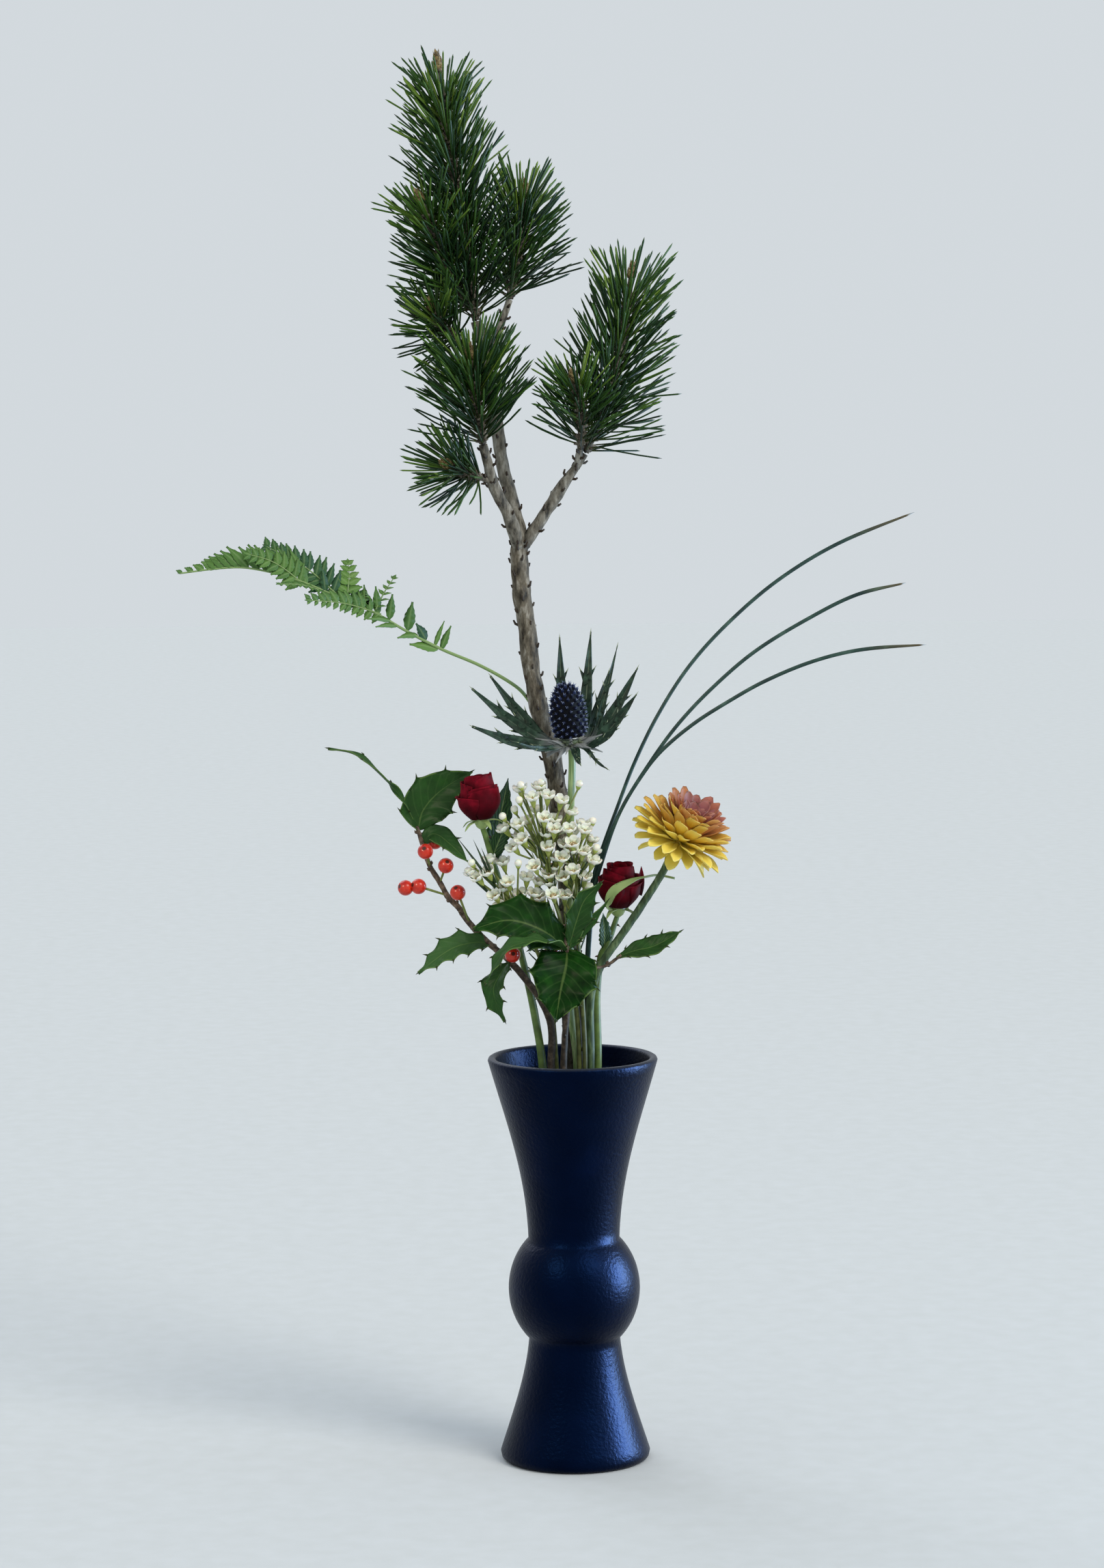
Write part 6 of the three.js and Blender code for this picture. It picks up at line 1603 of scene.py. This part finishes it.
def add_twig(piece, points, wide, thin, rand, buds):
    """A brown twig with small side buds."""
    line = smooth_line(points, 8)
    part = new_part()
    verts = add_tube(part, line, taper(wide, thin), sides=9)
    roughen(part, verts, 3, 0.35)
    for i in range(buds):
        k = round(mix(0.3, 0.98, (i + rand.random()) / buds) * (len(line) - 1))
        way = heading(line, k)
        out = around(way, i * GOLDEN_ANGLE)
        root = line[k] + out * (mix(wide, thin, k / len(line)) * 0.7 * MM)
        add_tube(part, [root, root + (out + way) * 0.0008, root + (out + way * 1.6) * 0.0014],
                 by_ring(0.8, 0.95, 0.2), sides=6, face=way, pointed=True)
    gather(piece, part, 1)


# %% [markdown]
# The berries hang on short stalks from the twig. A holly berry is a glossy ball with a flat, dark
# dot at its end, where the flower was. Each ball is an icosphere, a ball of even triangles, whose
# end is pressed in a little where the dot sits.

# %% Holly berries
BERRY_RADIUS = 4.75
BERRIES = {
    "left_pair": ((-75, -3, 350), [(-93, -5, 356), (-101, -3.5, 355)]),
    "left_low": ((-62, -7, 333), [(-69, -13, 353)]),
    "left_middle": ((-80, -2, 358), [(-76.2, -8.5, 369)]),
    "left_front": ((-86, -1, 368), [(-88.5, -10.5, 378)]),
    "left_back": ((-88, 0, 373), [(-83, 5, 382.3)]),
    "under_leaf": ((-38, -12, 311), [(-36, -23, 316)]),
    "front": ((-2, -27, 310), [(-12, -24, 318)]),
}


def add_berry(piece, centre, stalk_way):
    """A ball whose end, away from its stalk and toward the viewer, is pressed in a little."""
    part = new_part()
    bmesh.ops.create_icosphere(part, subdivisions=4, radius=BERRY_RADIUS * MM,
                               matrix=Matrix.Translation(centre * MM))
    end = (stalk_way + TO_VIEWER * 0.5).normalized()
    layer = part.verts.layers.float_vector["growth"]
    for v in part.verts:
        away = (v.co / MM - centre) / BERRY_RADIUS
        near_end = max(0, away.dot(end) - 0.93) / 0.07
        v.co -= end * near_end * 0.00035
        v[layer] = (0, near_end, 0.5)
    gather(piece, part)


def add_berry_stalk(piece, start, centre):
    """A short stalk from the twig to just inside the berry's skin."""
    way = (centre - start).normalized()
    end = centre - way * (BERRY_RADIUS - 0.4)
    grow(piece, add_tube, [start * MM, start.lerp(centre, 0.4) * MM, end * MM], taper(0.7, 0.85),
         sides=6, finish=2)


rand = random.Random(44)
holly_left_bm = new_part()
add_twig(holly_left_bm, HOLLY_LEFT_TWIG, 2.5, 1.3, rand, 16)
for leaf in HOLLY_LEFT_LEAVES:
    add_holly_leaf(holly_left_bm, *leaf)
holly_front_bm = new_part()
add_twig(holly_front_bm, HOLLY_FRONT_TWIG, 2.3, 1.3, rand, 8)
add_twig(holly_front_bm, LAST_LEAF_STALK, 1.0, 0.9, rand, 3)
for leaf in HOLLY_FRONT_LEAVES:
    add_holly_leaf(holly_front_bm, *leaf)
for name, (start, centres) in BERRIES.items():
    add_berry_stalk(holly_front_bm if name == "front" else holly_left_bm, Vector(start),
                    Vector(centres[0]))

# %% [markdown]
# A holly leaf has a thick clear skin over dark green, so it shines softly where the surface faces
# the light: a fairly low roughness gives that. A leaf that faces the sky gets a painted sheen, a
# grey-green mixed into its colour, and its tone says how much. The rib is pale yellow green, fine
# side veins leave it at a slant, the margin has a thin pale line and the spines are dark. The berry
# has the same kind of skin over scarlet.

# %% Holly gloss, twig and berry
holly_skin, holly_shader = new_material("glossy_holly_leaf", Roughness=0.36, Specular_IOR_Level=0.06)
grown = read_growth(holly_skin)
where = add_node(holly_skin, "TexCoord", {}, out="Object")
cloud = add_node(holly_skin, "TexNoise", {"Vector": where, "Scale": 110, "Detail": 3})
leaf_green = add_node(holly_skin, "ValToRGB", {"Fac": cloud},
                      stops=[(0.3, "#082006"), (0.55, "#0f330a"), (0.75, "#1c4713")])
# painted sheen: the leaf's tone mixes a grey-green into it, as a reflection of the sky
painted_sky_sheen = lay_over(holly_skin, leaf_green, "#476b3c", grown["tone"], 0.0, 1.0, 0.0, 0.75)
off_rib = add_node(holly_skin, "Math", {0: grown["across"]}, operation="ABSOLUTE")
veins = draw_veins(holly_skin, off_rib, grown["along"], -0.22, 56.0)
veined = lay_over(holly_skin, painted_sky_sheen, "#5f8048", veins, 0.75, 1.0, 0.0, 0.1)
ribbed = lay_over(holly_skin, veined, "#7f9856", off_rib, 0.02, 0.055, 0.26, 0.0)
edged = lay_over(holly_skin, ribbed, "#74904c", off_rib, 0.95, 1.0, 0.0, 0.45)
lay_over(holly_skin, edged, "#3a4428", grown["tone"], 1.2, 1.4, feeds=holly_shader["Base Color"])
add_node(holly_skin, "Bump", {"Height": veins, "Strength": 0.12, "Distance": 0.0004},
         holly_shader["Normal"])
twig_brown = plain_plant("brown_holly_twig", 0.7, 350,
                         [(0.35, "#3a2f26"), (0.5, "#5a4b3d"), (0.68, "#857361")])
holly_finishes = [holly_skin, twig_brown, olive_stalk]
finish_piece("holly_left_branch", holly_left_bm, holly_finishes, "holly_left")
finish_piece("holly_front_sprig", holly_front_bm, holly_finishes, "holly_front")

berry_skin, berry_shader = new_material("glossy_red_berry", Roughness=0.28, Specular_IOR_Level=0.35,
                                        Coat_Weight=0.15, Coat_Roughness=0.1)
grown = read_growth(berry_skin)
where = add_node(berry_skin, "TexCoord", {}, out="Object")
cloud = add_node(berry_skin, "TexNoise", {"Vector": where, "Scale": 220, "Detail": 2})
red = add_node(berry_skin, "ValToRGB", {"Fac": cloud}, stops=[(0.35, "#b21a0d"), (0.6, "#d2341b")])
lay_over(berry_skin, red, "#4a1a10", grown["along"], 0.3, 0.6, feeds=berry_shader["Base Color"])
for name, (start, centres) in BERRIES.items():
    berry_bm = new_part()
    stalk_way = (Vector(centres[0]) - Vector(start)).normalized()
    for centre in centres:
        add_berry(berry_bm, Vector(centre), stalk_way)
    finish_piece("berry_" + name, berry_bm, [berry_skin], "holly_berry_" + name)
